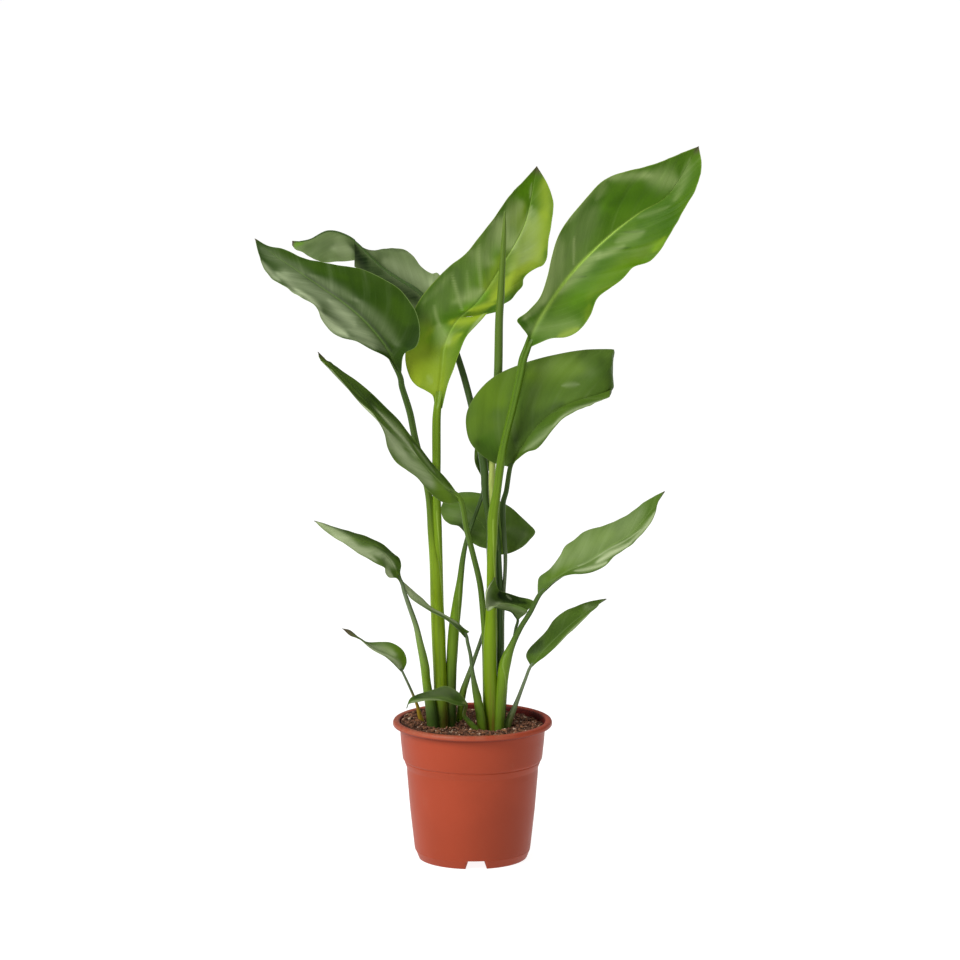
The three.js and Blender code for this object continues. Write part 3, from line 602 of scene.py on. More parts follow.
leaves["upper_centre"] = {
    "look": "fresh", "ribShow": [0, 0.1, 0.5, 0.4, 0, 0.5, 0.9, 0.1],
    "young": [0.9, 0.95, 0.8, 0.6, 0.45, 0.45, 0.6],
    "stalk": [(-32,6,104,4.9), (-34,6,191,4.9), (-36,5,295,4.8), (-37,4,354,4.6), (-38,2,398,4.3),
        (-38,2,432,4.6), (-38,2,467,4.6)],
    "midrib": [(-37,2,485), (-33,8,523), (-29,14,551), (-17,20,575), (7,28,597), (32,36,634), (56,42,678),
        (68,46,737)],
    "left": [(-40,2,489), (-42,5,498), (-49,7,503), (-60,9,509), (-67,11,519), (-71,12,537), (-68,13,562),
        (-63,14,584), (-54,16,601), (-40,18,618), (-25,20,633), (-8,23,646), (8,26,665), (25,30,687),
        (40,34,708), (54,40,722), (68,46,737)],
    "rightTorn": [(0, 3.2, [(-32,2,485), (-26,3,510), (-20,4,526), (-14,4,543), (-7,4,560), (3,6,572),
        (16,8,586)]),
        (3.2, 7, [(14,24,582), (28,23,586), (33,22,593), (41,22,598), (47,22,606), (53,22,613),
        (54,22,620), (60,22,627), (68,22,632), (75,24,635), (79,25,644), (80,27,660), (83,30,675),
        (85,33,690), (85,37,702), (79,42,719), (68,46,737)])],
    "pale": [(204,-30,196,-2,14,0.95), (170,-36,170,-12,10,0.5), (100,-30,201,-29,26,0.2),
        (139,-40,111,-5,1.3,0.55), (179,-34,139,-4,1.4,0.5), (108,-34,89,-13,1.2,0.45),
        (151,-30,131,-15,1.2,0.35), (125,-12,137,-4,7,0.45), (89,-16,70,3,7,0.5), (206,23,172,11,12,0.3),
        (184,17,236,6,10,0.5), (212,-24,236,-11,9,0.6), (118,-18,139,-4,8,0.4), (196,0,242,2,3,0.6),
        (108,-45,141,-42,4,0.2), (48,-21,37,-13,3,0.25), (264,-3,251,-2,1.6,0.5), (101,28,76,25,3,0.6)],
    "deep": [(228,-28,267,-5,9,0.15), (148,-41,121,-14,5,0.6), (106,-46,95,-34,7,0.15),
        (127,-46,106,-18,4,0.3), (177,-23,148,-2,3,0.3), (151,-26,137,-12,3,0.2)],
    "gold": [(74,-35,22,0,24,0.7), (80,-41,85,-21,9,0.7), (94,-4,98,30,8,0.75), (68,0,77,14,7,0.6),
        (236,15,204,25,14,0.65), (273,11,236,21,8,0.55), (204,25,162,20,14,0.95), (162,20,129,16,12,0.95),
        (114,1,121,20,7,0.85), (179,-6,141,-1,9,0.45), (184,17,225,2,12,0.5), (212,-18,236,-8,10,0.4),
        (77,-47,48,-33,9,0.9)],
    "lush": [(80,-41,87,-28,8,0.5), (80,-23,85,-1,8,0.5), (233,-24,267,-5,8,0.6), (111,-5,139,3,6,0.6),
        (137,-19,189,-13,14,0.3)]}
leaves["upper_right"] = {
    "look": "fresh", "ribShow": [0, 0.3, 1.3, 1.8, 1.8, 1.4, 0.9, 0.3, 0],
    "young": [0.3, 0.65, 0.8, 0.9, 0.9, 0.75, 0.6, 0.45, 0.25, 0.15, 0.1, 0.05, 0, 0], "footStain": 0.6,
    "stalk": [(22,-10,108,8.8), (20,-10,173,8.2), (19,-10,206,7.5), (19,-9,238,7.3), (20,-8,276,5.6),
        (20,-7,319,4.9), (21,-7,346,5.3), (22,-7,372,5.7), (26,-8,399,4.5), (30,-9,430,4.5),
        (34,-11,453,3.9), (43,-16,491,4.1), (50,-20,524,4.5), (53,-20,540,4.5)],
    "midrib": [(57,-18,551), (65,-19,573), (78,-19,595), (94,-20,619), (116,-22,645), (144,-26,672),
        (173,-31,695), (204,-37,716), (234,-46,766)],
    "left": [(57,-18,554), (58,-20,565), (51,-22,575), (47,-25,583), (59,-29,593), (71,-33,608),
        (78,-37,629), (82,-39,649), (87,-41,667), (95,-43,683), (106,-45,698), (120,-46,715),
        (136,-48,731), (157,-49,740), (179,-48,745), (199,-48,752), (218,-47,760), (234,-46,766)],
    "right": [(59,-18,552), (71,-21,558), (83,-24,563), (99,-28,565), (112,-32,573), (123,-37,589),
        (130,-42,607), (144,-46,619), (156,-50,629), (167,-53,641), (184,-56,648), (197,-57,663),
        (209,-58,684), (220,-55,703), (232,-52,725), (237,-49,746), (234,-46,766)],
    "pale": [(105,-42,56,-10,13,0.85), (56,-14,36,-16,7,0.55), (125,-47,162,-53,6,0.4),
        (179,-54,212,-31,5,0.5), (208,-35,240,-2,9,0.5), (121,-27,101,-5,1.6,0.7), (70,2,127,7,7,0.5),
        (121,11,149,19,5,0.45), (149,11,172,21,6,0.45), (185,5,207,16,5,0.2), (175,-53,162,-42,5,0.35),
        (63,-6,151,-33,20,0.3), (20,-4,50,38,12,0.25), (267,-2,216,16,6,0.3)],
    "deep": [(170,-27,224,-6,12,0.45), (149,42,199,29,8,0.1), (93,-20,151,-19,6,0.2),
        (31,-17,17,-3,4,0.4), (139,14,151,26,1.4,0.5), (91,6,96,15,1.4,0.6), (161,6,174,22,1.4,0.5),
        (40,5,66,42,5,0.15)],
    "gold": [(162,49,177,46,4,0.4), (84,40,108,51,3,0.12), (49,40,30,27,4,0.55), (59,43,70,39,4,0.2),
        (78,34,168,43,12,0.15)],
    "lush": [(67,22,147,52,12,0.2), (164,-28,222,-6,14,0.35), (162,46,175,48,5,0.4)]}
leaves["middle_right"] = {
    "look": "middle", "ribShow": [0.3, 0.2, 0.2, 0.2, 0.1], "young": [0.2, 0.1, 0, 0, 0, 0, 0.1],
    "bloom": [0, 0.3, 0.7, 0.6, 0, 0, 0],
    "stalk": [(28,9,103,3), (28,8,169,3), (31,6,219,2.6), (32,5,268,2.2), (35,5,322,2.1), (32,5,376,2.9),
        (36,5,397,2.7)],
    "midrib": [(40,4,422), (45,1,432), (54,-3,448), (72,-8,472), (98,-12,491), (142,-8,505), (149,14,508),
        (139,46,512), (126,80,513)],
    "left": [(39,4,422), (20,2,428), (1,-1,444), (-6,-1,460), (-6,-1,481), (5,0,502), (24,0,520),
        (52,-1,533), (83,-2,542), (116,-3,548), (145,-4,549), (149,6,546), (150,16,543), (145,32,539),
        (138,48,532), (132,64,524), (126,80,513)],
    "right": [(41,3,421), (45,-8,430), (51,-18,437), (58,-24,443), (67,-30,447), (77,-37,458),
        (86,-44,472), (97,-48,484), (110,-52,491), (126,-46,497), (142,-40,503), (144,-19,505),
        (146,2,505), (144,21,504), (139,40,503), (133,60,507), (126,80,513)],
    "pale": [(24,11,65,32,8,0.35), (65,32,137,30,8,0.6), (96,-20,110,-16,2.5,0.25),
        (84,-48,123,-25,12,0.08)],
    "deep": [(15,-43,9,-16,9,0.5), (78,-56,62,-35,4,0.4), (40,-20,12,-7,9,0.2), (29,-9,90,-2,7,0.4),
        (133,-35,145,-3,8,0.3), (34,28,53,37,2.5,0.4), (115,23,137,30,2.5,0.5)],
    "gold": [(51,-71,50,-45,18,0.6), (78,-47,113,-31,15,0.6), (25,-58,30,-38,12,0.25)],
    "lush": [(18,-40,13,-18,9,0.4)]}
leaves["top_back"] = {
    "look": "middle", "ribShow": [0.3, 0.3, 0.3, 0.2, 0.1], "young": [0.4, 0.2, 0.1, 0.1, 0, 0, 0, 0, 0],
    "stalk": [(19,12,102,5), (19,11,234,4.5), (20,12,299,4.3), (19,12,337,4.2), (18,12,364,3.6),
        (14,13,388,3.7), (12,15,422,4.4), (3,17,468,3.7), (-8,24,512,3.6), (-20,34,548,3.4)],
    "midrib": [(-27,40,563), (-40,48,585), (-58,55,603), (-78,60,615), (-96,64,627), (-113,66,643),
        (-132,68,659), (-153,70,665), (-173,71,656), (-192,72,653)],
    "left": [(-26,40,564), (-23,49,592), (-35,58,620), (-44,64,621), (-55,70,628), (-63,76,638),
        (-72,80,644), (-84,82,646), (-94,83,645), (-106,84,643), (-118,83,641), (-131,81,645),
        (-143,79,651), (-157,77,652), (-171,74,652), (-183,73,654), (-192,72,655)],
    "rightTorn": [(0, 5.7, [(-28,40,562), (-52,50,567), (-73,60,584), (-95,68,605), (-112,73,619),
        (-126,76,627)]),
        (5.7, 9, [(-125,56,636), (-135,54,635), (-145,52,635), (-155,53,634), (-165,54,636),
        (-174,58,640), (-181,62,644), (-188,67,646), (-192,72,650)])],
    "pale": [(99,-8,42,-16,12,0.3), (42,-16,29,-34,8,0.2), (162,20,145,14,8,0.3)],
    "deep": [(191,10,160,17,11,0.3), (115,-14,55,-10,12,0.3), (142,9,118,13,13,0.8), (120,9,53,8,15,0.75),
        (115,-20,82,-34,3,0.4), (124,20,49,7,7,0.4)],
    "gold": [(211,0,202,3,5,0.4)],
    "lush": [(211,0,199,4,5,0.5)]}
leaves["middle_left"] = {
    "look": "middle", "slot": "leaf_dark", "ribShow": [0.6, 0.8, 0.6, 0.3, 0],
    "young": [0.8, 0.8, 0.5, 0.3, 0.2, 0.3, 0.5], "dryFrom": 0.93,
    "stalk": [(14,-3,106,3.1), (14,-3,182,3.1), (13,-3,237,3.2), (11,-4,269,3.3), (8,-6,298,3.2),
        (1,-9,329,3), (-6,-12,357,3)],
    "midrib": [(-13,-14,391), (-30,-22,407), (-47,-27,425), (-64,-30,446), (-85,-33,468), (-115,-36,502),
        (-161,-38,551)],
    "left": [(-14,-15,388), (-25,-23,387), (-36,-31,393), (-47,-37,404), (-57,-43,418), (-68,-48,427),
        (-80,-53,437), (-88,-58,452), (-93,-59,470), (-104,-60,489), (-120,-57,504), (-138,-53,525),
        (-151,-48,537), (-159,-43,544), (-161,-38,551)],
    "right": [(-13,-14,391), (-19,-13,401), (-28,-12,413), (-39,-11,425), (-48,-11,436), (-57,-10,448),
        (-67,-9,460), (-78,-8,474), (-91,-8,487), (-106,-8,502), (-124,-11,518), (-141,-15,531),
        (-153,-21,540), (-159,-29,546), (-161,-38,551)],
    "pale": [(114,-45,97,-20,8,0.8), (106,24,71,2,11,0.85), (97,-29,74,-15,12,0.95),
        (77,-20,36,-10,12,0.6), (61,21,36,9,4,0.3)],
    "deep": [(159,-38,104,47,8,0.45), (104,47,70,30,5,0.55), (69,26,31,18,5,0.55), (28,17,16,6,4,0.5)],
    "gold": [(31,-5,12,-10,10,0.5), (69,-35,51,-27,3,0.5), (189,-26,196,-9,3,0.9)]}
leaves["lower_left"] = {
    "look": "middle", "ribShow": [0.3, 0.3, 0.2, 0], "young": [0, 0.15, 0.9, 1, 0.9, 0.1, 0, 0],
    "footShade": 0.12, "bloom": [0, 0, 0, 0.2, 0.4, 0.5, 0.5, 0.3],
    "stalk": [(-39,-4,106,7), (-43,-4,155,6.4), (-48,-4,185,4.9), (-51,-10,211,4.6), (-56,-18,238,3.6),
        (-60,-22,257,2.9), (-68,-28,282,2.5), (-72,-32,295,2.2)],
    "midrib": [(-75,-34,306), (-87,-38,331), (-101,-42,344), (-119,-45,352), (-141,-46,363),
        (-166,-44,373)],
    "left": [(-76,-35,305), (-80,-41,311), (-87,-48,313), (-91,-53,319), (-92,-58,325), (-100,-62,330),
        (-108,-63,335), (-116,-64,340), (-126,-61,346), (-134,-58,351), (-145,-54,357), (-157,-49,365),
        (-166,-44,373)],
    "right": [(-73,-33,304), (-76,-30,314), (-75,-27,322), (-77,-24,329), (-83,-23,334), (-92,-23,342),
        (-102,-25,348), (-113,-28,354), (-128,-32,359), (-142,-37,364), (-155,-40,369), (-166,-44,373)],
    "pale": [(119,0,73,-9,8,0.7), (96,-8,52,-19,8,1), (65,-12,19,1,6,0.7), (33,-19,19,-13,5,0.95)],
    "deep": [(90,10,57,22,5,0.5), (55,19,30,18,6,0.55)],
    "gold": [(76,-1,48,15,3,0.5), (13,-1,4,3,5,0.5)]}
leaves["edge_on"] = {
    "look": "middle", "ribShow": [0.2, 0.2, 0.1], "young": [0.7, 0.7, 0.5, 0.2, 0, 0, 0],
    "bloom": [0, 0, 0, 0.1, 0.2, 0.2, 0.2],
    "stalk": [(12,-20,110,4.6), (10,-20,148,5), (6,-19,173,4.6), (3,-19,187,3.6), (0,-19,205,2.3),
        (-2,-19,223,2), (-5,-20,237,1.9)],
    "midrib": [(-7,-20,246), (-14,-22,255), (-28,-26,266), (-44,-28,275), (-60,-28,287), (-75,-26,306)],
    "left": [(-8,-21,243), (-14,-32,252), (-23,-38,262), (-32,-40,269), (-44,-40,275), (-56,-37,282),
        (-67,-32,290), (-75,-26,306)],
    "right": [(-3,-19,249), (-9,-15,252), (-16,-12,258), (-23,-11,262), (-32,-12,268), (-43,-12,274),
        (-53,-15,284), (-64,-20,295), (-75,-26,306)],
    "pale": [(89,-1,40,12,11,1), (44,11,16,6,7,0.8)],
    "deep": [(9,-3,0,3,7,0.3)]}
leaves["small_left"] = {
    "look": "middle", "ribShow": [0.3, 0.3, 0.1], "young": [1, 1, 0.8, 0.3, 0, 0, 0], "dryFrom": 0.6,
    "footOchre": 0.9, "bloom": [0, 0, 0, 0.3, 0.6, 0.6, 0.5],
    "stalk": [(-42,14,102,3.1), (-47,13,124,3.1), (-52,12,138,3), (-56,10,150,2.6), (-59,8,163,1.8),
        (-64,4,177,1.5), (-69,-2,190,1.4)],
    "midrib": [(-75,-6,204), (-80,-12,217), (-92,-16,226), (-105,-18,233), (-122,-18,244), (-138,-16,252)],
    "left": [(-76,-7,203), (-81,-14,210), (-86,-22,217), (-92,-25,223), (-98,-28,227), (-105,-28,231),
        (-112,-28,236), (-118,-25,241), (-123,-22,243), (-130,-19,245), (-138,-16,252)],
    "right": [(-73,-5,205), (-70,-4,213), (-72,-2,222), (-78,-2,229), (-88,-2,234), (-98,-4,235),
        (-109,-6,235), (-117,-10,238), (-123,-14,244), (-130,-15,250), (-138,-16,252)],
    "pale": [(53,-10,28,-13,5,1), (34,-11,4,-1,5,0.95), (47,0,22,4,7,0.6)],
    "gold": [(32,7,7,4,9,0.6)]}
leaves["small_front"] = {
    "look": "middle", "ribShow": [0.2, 0.2, 0.1], "young": [0.5, 0.5, 0.4, 0.2, 0.1],
    "stalk": [(7,-31,113,3), (5,-31,142,3), (0,-32,150,3), (-5,-33,156,2.6), (-9,-35,163,2.1)],
    "midrib": [(-7,-38,175), (-17,-42,178), (-30,-45,183), (-45,-46,183), (-59,-46,181), (-67,-44,178),
        (-70,-42,171)],
    "left": [(-7,-39,174), (-16,-50,176), (-30,-55,182), (-45,-56,183), (-58,-52,180), (-67,-47,177),
        (-70,-42,171)],
    "right": [(-6,-37,177), (-15,-30,186), (-29,-27,192), (-45,-28,187), (-59,-34,184), (-66,-40,181),
        (-70,-42,171)],
    "pale": [(60,-2,30,-7,4,0.4), (46,8,15,14,12,0.12)],
    "deep": [(54,8,15,14,14,0.7), (17,9,0,-1,8,0.7)]}
leaves["lower_back"] = {
    "look": "middle", "ribShow": [0.3, 0.3, 0.1], "young": [0.8, 0.9, 0.8, 0.3, 0.1, 0, 0, 0],
    "bloom": [0, 0, 0.1, 0.3, 0.3, 0.3, 0.3, 0.2],
    "stalk": [(-17,16,101,3.4), (-14,15,143,3.6), (-11,14,173,3.7), (-6,14,190,3), (1,14,210,2.3),
        (9,15,233,2.1), (17,16,260,2), (23,17,292,2)],
    "midrib": [(27,18,328), (20,28,342), (10,40,354), (-2,54,365), (-15,70,372), (-28,84,376)],
    "left": [(26,18,326), (17,18,331), (7,19,334), (-2,23,339), (-9,27,348), (-15,34,353), (-24,40,354),
        (-31,52,358), (-34,64,365), (-32,74,372), (-28,84,376)],
    "right": [(30,18,325), (41,19,327), (53,20,333), (61,25,340), (67,30,348), (59,39,356), (42,48,370),
        (26,58,378), (8,68,383), (-11,76,383), (-28,84,376)],
    "pale": [(79,-14,50,-7,8,0.12), (38,27,34,45,8,0.1)],
    "deep": [(52,-25,23,-13,8,0.35), (19,23,38,55,12,0.12)],
    "gold": [(86,5,74,25,6,0.3)]}
leaves["lower_right"] = {
    "look": "middle", "ribShow": [0.1, 0.4, 0.8, 0.6, 0.1], "young": [0.3, 0.7, 0.9, 0.6, 0.2, 0.1, 0.1],
    "stalk": [(27,-17,109,4.8), (29,-15,158,5.2), (32,-14,196,5.8), (35,-14,215,6.1), (42,-15,234,3.7),
        (51,-17,253,2.9), (61,-20,270,2.7)],
    "midrib": [(71,-24,290), (83,-27,304), (101,-30,317), (119,-32,325), (141,-34,341), (166,-34,357),
        (185,-33,378), (202,-30,402)],
    "left": [(69,-23,290), (69,-20,300), (71,-18,308), (82,-15,316), (92,-12,329), (98,-11,340),
        (108,-10,347), (118,-10,355), (130,-10,359), (144,-12,364), (159,-14,371), (171,-17,380),
        (182,-20,389), (192,-25,396), (202,-30,402)],
    "right": [(72,-25,290), (79,-32,299), (87,-40,308), (95,-46,314), (105,-52,317), (115,-56,318),
        (125,-60,321), (137,-62,327), (146,-64,336), (157,-62,344), (168,-60,352), (181,-53,364),
        (191,-46,379), (195,-38,392), (202,-30,402)],
    "pale": [(48,8,80,26,5,0.8), (73,11,114,20,7,0.95), (106,21,148,10,6,0.7), (53,-1,129,8,1.6,0.5),
        (39,-17,135,-11,22,0.22)],
    "deep": [(45,22,69,30,2,0.6)],
    "gold": [(16,-6,58,-7,8,0.25), (44,-25,99,-15,14,0.3)]}
leaves["small_curled"] = {
    "look": "middle", "ribShow": [0.2, 0.2, 0.1], "young": [0.1, 0, 0, 0],
    "stalk": [(33,4,104,1.8), (33,3,138,1.8), (35,-3,171,1.6), (37,-6,207,1.4), (41,-7,225,1.4),
        (44,-8,240,1.5), (46,-10,251,1.6)],
    "midrib": [(48,-12,261), (42,-18,271), (29,-24,276), (18,-27,280), (15,-28,294), (24,-26,309)],
    "left": [(50,-14,262), (58,-24,273), (42,-32,281), (29,-36,283), (16,-37,275), (15,-34,293),
        (24,-26,309)],
    "right": [(51,-10,263), (65,-3,278), (48,-3,284), (32,-8,290), (27,-18,296), (24,-26,309)],
    "pale": [(63,-5,42,-7,9,0.95), (21,-10,9,-12,4,0.15), (35,8,43,-7,6,0.8), (36,25,29,21,0.9,0.5)],
    "deep": [(41,20,17,21,8,1), (43,22,25,28,6,0.9)],
    "lush": [(23,-14,12,-16,5,0.5)]}
leaves["small_right"] = {
    "look": "middle", "ribShow": [0.5, 0.4, 0.3, 0.1], "young": [0.9, 0.9, 0.7, 0.5, 0.2, 0, 0],
    "dryFrom": 0.95, "bloom": [0, 0, 0.2, 0.4, 0.6, 0.6, 0.5],
    "stalk": [(33,-5,106,3.6), (34,-6,126,3.8), (36,-7,141,4), (40,-6,153,3.8), (44,-6,162,3),
        (49,-6,175,2.2), (56,-6,194,1.8)],
    "midrib": [(62,-6,209), (73,-10,224), (89,-12,241), (106,-13,257), (125,-12,272), (142,-10,283)],
    "left": [(62,-5,209), (57,-4,219), (60,-2,227), (69,0,236), (79,2,246), (87,2,258), (98,3,267),
        (111,0,273), (123,-2,278), (134,-6,281), (142,-10,283)],
    "right": [(63,-7,208), (70,-14,216), (77,-22,223), (86,-26,232), (95,-30,242), (104,-30,251),
        (113,-30,260), (123,-25,269), (132,-20,276), (136,-15,281), (142,-10,283)],
    "pale": [(34,17,82,14,3,0.5), (85,-10,96,8,4,0.2)],
    "deep": [(18,-6,75,-1,10,0.35), (16,-11,30,-11,6,0.45)]}
leaves["middle_back"] = {
    "look": "middle", "ribShow": [0.3, 0.3, 0.1], "young": [0, 0.2, 0.8, 0.9, 0.6, 0.3, 0.1, 0, 0, 0],
    "footShade": 0.12,
    "stalk": [(-23,9,103,6.3), (-23,8,169,5.7), (-22,7,213,5.8), (-20,6,246,5.8), (-16,4,279,4.9),
        (-13,3,301,3.6), (-10,3,325,2.9), (-5,4,348,2.2), (4,12,372,2), (11,20,392,2)],
    "midrib": [(11,24,406), (15,34,443), (33,48,468), (54,66,488), (78,84,504)],
    "left": [(10,24,407), (2,28,428), (9,40,461), (35,60,494), (78,84,504)],
    "right": [(13,25,407), (29,26,434), (52,38,459), (74,58,484), (78,84,504)],
    "deep": [(36,-13,14,-6,8,0.7)]}


def bySize(leaf, pair):
    # the first of two counts for a large leaf, the second for a small one
    return pair[0] if len(leaf["midrib"]) >= bladeShape["largeFrom"] else pair[1]


def sharesAlong(shares, part):
    # a list of shares, evenly spaced from foot to tip, read at each part of the way
    return np.interp(part, np.linspace(0, 1, len(shares)), shares)


def panels(leaf, side):
    # the margins of one half with their stretches; an untorn half has one, from foot to tip
    return leaf.get(side + "Torn") or [(0, len(leaf["midrib"]) - 1, leaf[side])]


def panelPoint(panel, place):
    # the margin beside each place on the midrib
    start, end, margin = panel
    return curveThrough(margin, (place - start) / (end - start) * (len(margin) - 1))


def bladeRows(leaf):
    # places along the midrib in stretches; a new one starts where a half is torn across
    rowsPerStep = bySize(leaf, bladeShape["rowsPerStep"])
    stops = sorted({end for side in ("left", "right") for panel in panels(leaf, side) for end in panel[:2]})
    rows = []
    for start, end in zip(stops[:-1], stops[1:]):
        count = max(4, round((end - start) * rowsPerStep) + 1)
        rows.append(np.linspace(start, end, count))
    return rows


def bladeFrame(leaf, place):
    # midrib point, its direction, and the upper face's direction, away from the ends' pinch
    last = len(leaf["midrib"]) - 1
    step, pinch = 0.06, 0.35
    middle = curveThrough(leaf["midrib"], place)
    after = curveThrough(leaf["midrib"], np.minimum(place + step, last))
    before = curveThrough(leaf["midrib"], np.maximum(place - step, 0))
    inner = np.clip(place, pinch, last - pinch)
    edges = []
    for side in ("left", "right"):
        found = np.zeros((len(place), 3))
        for panel in panels(leaf, side):
            inside = (inner >= panel[0]) & (inner <= panel[1])
            found[inside] = panelPoint(panel, inner[inside])
        edges.append(found)
    along = unit(after - before)
    up = unit(np.cross(edges[1] - edges[0], along))
    return middle, along, up


def ribRadius(leaf, part):
    # from four fifths of the stalk's radius at the blade's foot to a thread at its tip
    base = leaf["stalk"][-1][3] * 0.8
    return bladeShape["ribAtTip"] + (base - bladeShape["ribAtTip"]) * (1 - part) ** 1.1


def strokeShare(strokes, arc, offset):
    # Soft brush strokes in the flat leaf's own plane, from one place to another. A place is its
    # distance up the midrib and sideways from it. Each is exp(-(distance / width)^2) strong, and
    # narrows towards both ends.
    left = np.ones_like(offset)
    for arcA, offsetA, arcB, offsetB, width, strength in strokes:
        x, y = arcB - arcA, offsetB - offsetA
        t = np.clip(((arc - arcA) * x + (offset - offsetA) * y) / max(x * x + y * y, 1e-6), 0, 1)
        distance = np.hypot(arc - arcA - t * x, offset - offsetA - t * y)
        narrowed = width * (0.45 + 0.65 * np.sin(math.pi * t) ** 0.7)
        left = left * (1 - strength * np.exp(-(distance / narrowed) ** 2))
    return 1 - left


def bladeHalf(leaf, side, place, arc, seed):
    # One half runs from the midrib to its margin, P = midrib + u * reach, and sags in the
    # middle by 4u(1 - u). Shallow folds follow the side veins, which lean forward more and
    # more towards the tip, the margin ripples, and a channel follows the midrib.
    sign = 1 if side == "right" else -1
    # the first pair of draws is spare; the others are the ripples' phases on the left and right
    phases = np.random.default_rng(seed).uniform(0, 2 * math.pi, (3, 2))[1:, int(sign > 0)]
    part = place / (len(leaf["midrib"]) - 1)
    middle, along, up = bladeFrame(leaf, place)
    radius = ribRadius(leaf, part)[:, None]
    panel = next(p for p in panels(leaf, side) if p[0] <= (place[0] + place[-1]) / 2 <= p[1])
    reach = panelPoint(panel, place) - middle
    width = np.linalg.norm(reach, axis=1)[:, None]
    face = unit(np.cross(reach, along) * sign)
    face = np.where((np.sum(face * up, axis=1) < 0.2)[:, None], up, face)
    nearRib = np.minimum(radius, 0.3 * width) * np.array(bladeShape["nearRib"])
    spread = np.linspace(0, 1, bySize(leaf, bladeShape["columns"]) + 1)[1:]
    d = np.concatenate([nearRib, nearRib[:, -1:] + (width - nearRib[:, -1:]) * spread], axis=1)
    u = d / np.maximum(width, 1e-6)
    lean = bladeShape["veinLean"]
    vein = arc[:, None] - (lean + lean * part ** 2)[:, None] * d
    ends = (smoothStep(0, 0.12, part) * smoothStep(0, 0.1, 1 - part))[:, None]
    foldLong, foldShort = bladeShape["foldLengths"]
    fold = latticeNoise(vein, d * 0.25, foldLong, seed + 40 * sign + 50)
    fold += 0.4 * latticeNoise(vein, d * 0.25, foldShort, seed + 40 * sign + 51)
    window = np.clip(width / 40, 0, 1) * np.sin(math.pi * np.clip(u, 0, 1)) ** 0.8
    rippleLong, rippleShort = bladeShape["rippleLengths"]
    ripple = np.sin(2 * math.pi * vein / rippleLong + phases[0])
    ripple += 0.6 * np.sin(2 * math.pi * vein / rippleShort + phases[1])
    lift = -bladeShape["sag"] * (width * 4 * u * (1 - u))
    lift += bladeShape["foldHeight"] * fold * window * ends
    lift += bladeShape["rippleHeight"] * ripple * u ** 4 * ends * np.clip(width / 30, 0, 1)
    channel = np.exp(-(d / (bladeShape["channelWidth"] * radius)) ** 2)
    points = middle[:, None] + reach[:, None] * u[..., None] + face[:, None] * lift[..., None]
    points -= up[:, None] * (bladeShape["channelDepth"] * radius * channel)[..., None]
    dry = smoothStep(leaf.get("dryFrom", leafFinish["dryFrom"]), 1.0, part)[:, None]
    half = {"points": points, "offset": sign * d, "vein": vein, "margin": width - d,
            "rib": sharesAlong(leaf["ribShow"], part)[:, None] * channel, "dry": dry * np.ones_like(d)}
    # the shares of the brush strokes, which paint light, shade and sheen on the blade
    for tint in tints:
        half[tint] = strokeShare(leaf.get(tint, []), arc[:, None], sign * d)
    return half


def bladeSheet(leaf, seed):
    # the two halves side by side as one sheet, cut where a half is torn
    values, quads, start, length = {}, [], 0, 0.0
    for place in bladeRows(leaf):
        steps = np.linalg.norm(np.diff(curveThrough(leaf["midrib"], place), axis=0), axis=1)
        arc = length + np.concatenate([[0], np.cumsum(steps)])
        length = arc[-1]
        left, right = (bladeHalf(leaf, side, place, arc, seed) for side in ("left", "right"))
        for key in left:
            both = np.concatenate([left[key][:, :0:-1], right[key]], axis=1)
            values.setdefault(key, []).append(both.reshape(-1, *both.shape[2:]))
        rows, columns = both.shape[:2]
        quads.append(gridQuads(rows, columns) + start)
        start += rows * columns
    values = {key: np.concatenate(value) for key, value in values.items()}
    return values.pop("points"), np.vstack(quads), values


def bladeShell(leaf, seed):
    # the sheet, moved half its thickness up and down along its normals, closed by a band
    points, quads, values = bladeSheet(leaf, seed)
    first, quads = welded(points, quads)
    points = points[first]
    values = {key: value[first] for key, value in values.items()}
    normals = pointNormals(points, quads)
    thin = smoothStep(0, 6, values["margin"])
    half = (bladeShape["thicknessAtMargin"] * (1 - thin) + bladeShape["thickness"] * thin)[:, None] / 2
    count = len(points)
    edges = np.stack([quads, np.roll(quads, -1, axis=1)], -1).reshape(-1, 2)
    edges = edges[edges[:, 0] != edges[:, 1]]
    code = edges[:, 0] * count + edges[:, 1]
    free = edges[~np.isin(code, edges[:, 1] * count + edges[:, 0])]
    band = np.stack([free[:, 1], free[:, 0], free[:, 0] + count, free[:, 1] + count], -1)
    both = {key: np.concatenate([value, value]) for key, value in values.items()}
    both["under"] = np.repeat([0.0, 1.0], count)
    return {"points": np.vstack([points + normals * half, points - normals * half]),
            "quads": np.vstack([quads, quads[:, ::-1] + count, band]), "values": both}


def stalkPath(leaf):
    # stalk and midrib as one curve, with the radius at each row, and the row where the blade starts
    radii = ribRadius(leaf, np.linspace(0, 1, len(leaf["midrib"])))
    radii[0] = leaf["stalk"][-1][3] * 0.92
    rib = np.hstack([np.array(leaf["midrib"], float), radii[:, None]])
    return np.vstack([np.array(leaf["stalk"], float), rib]), len(leaf["stalk"])


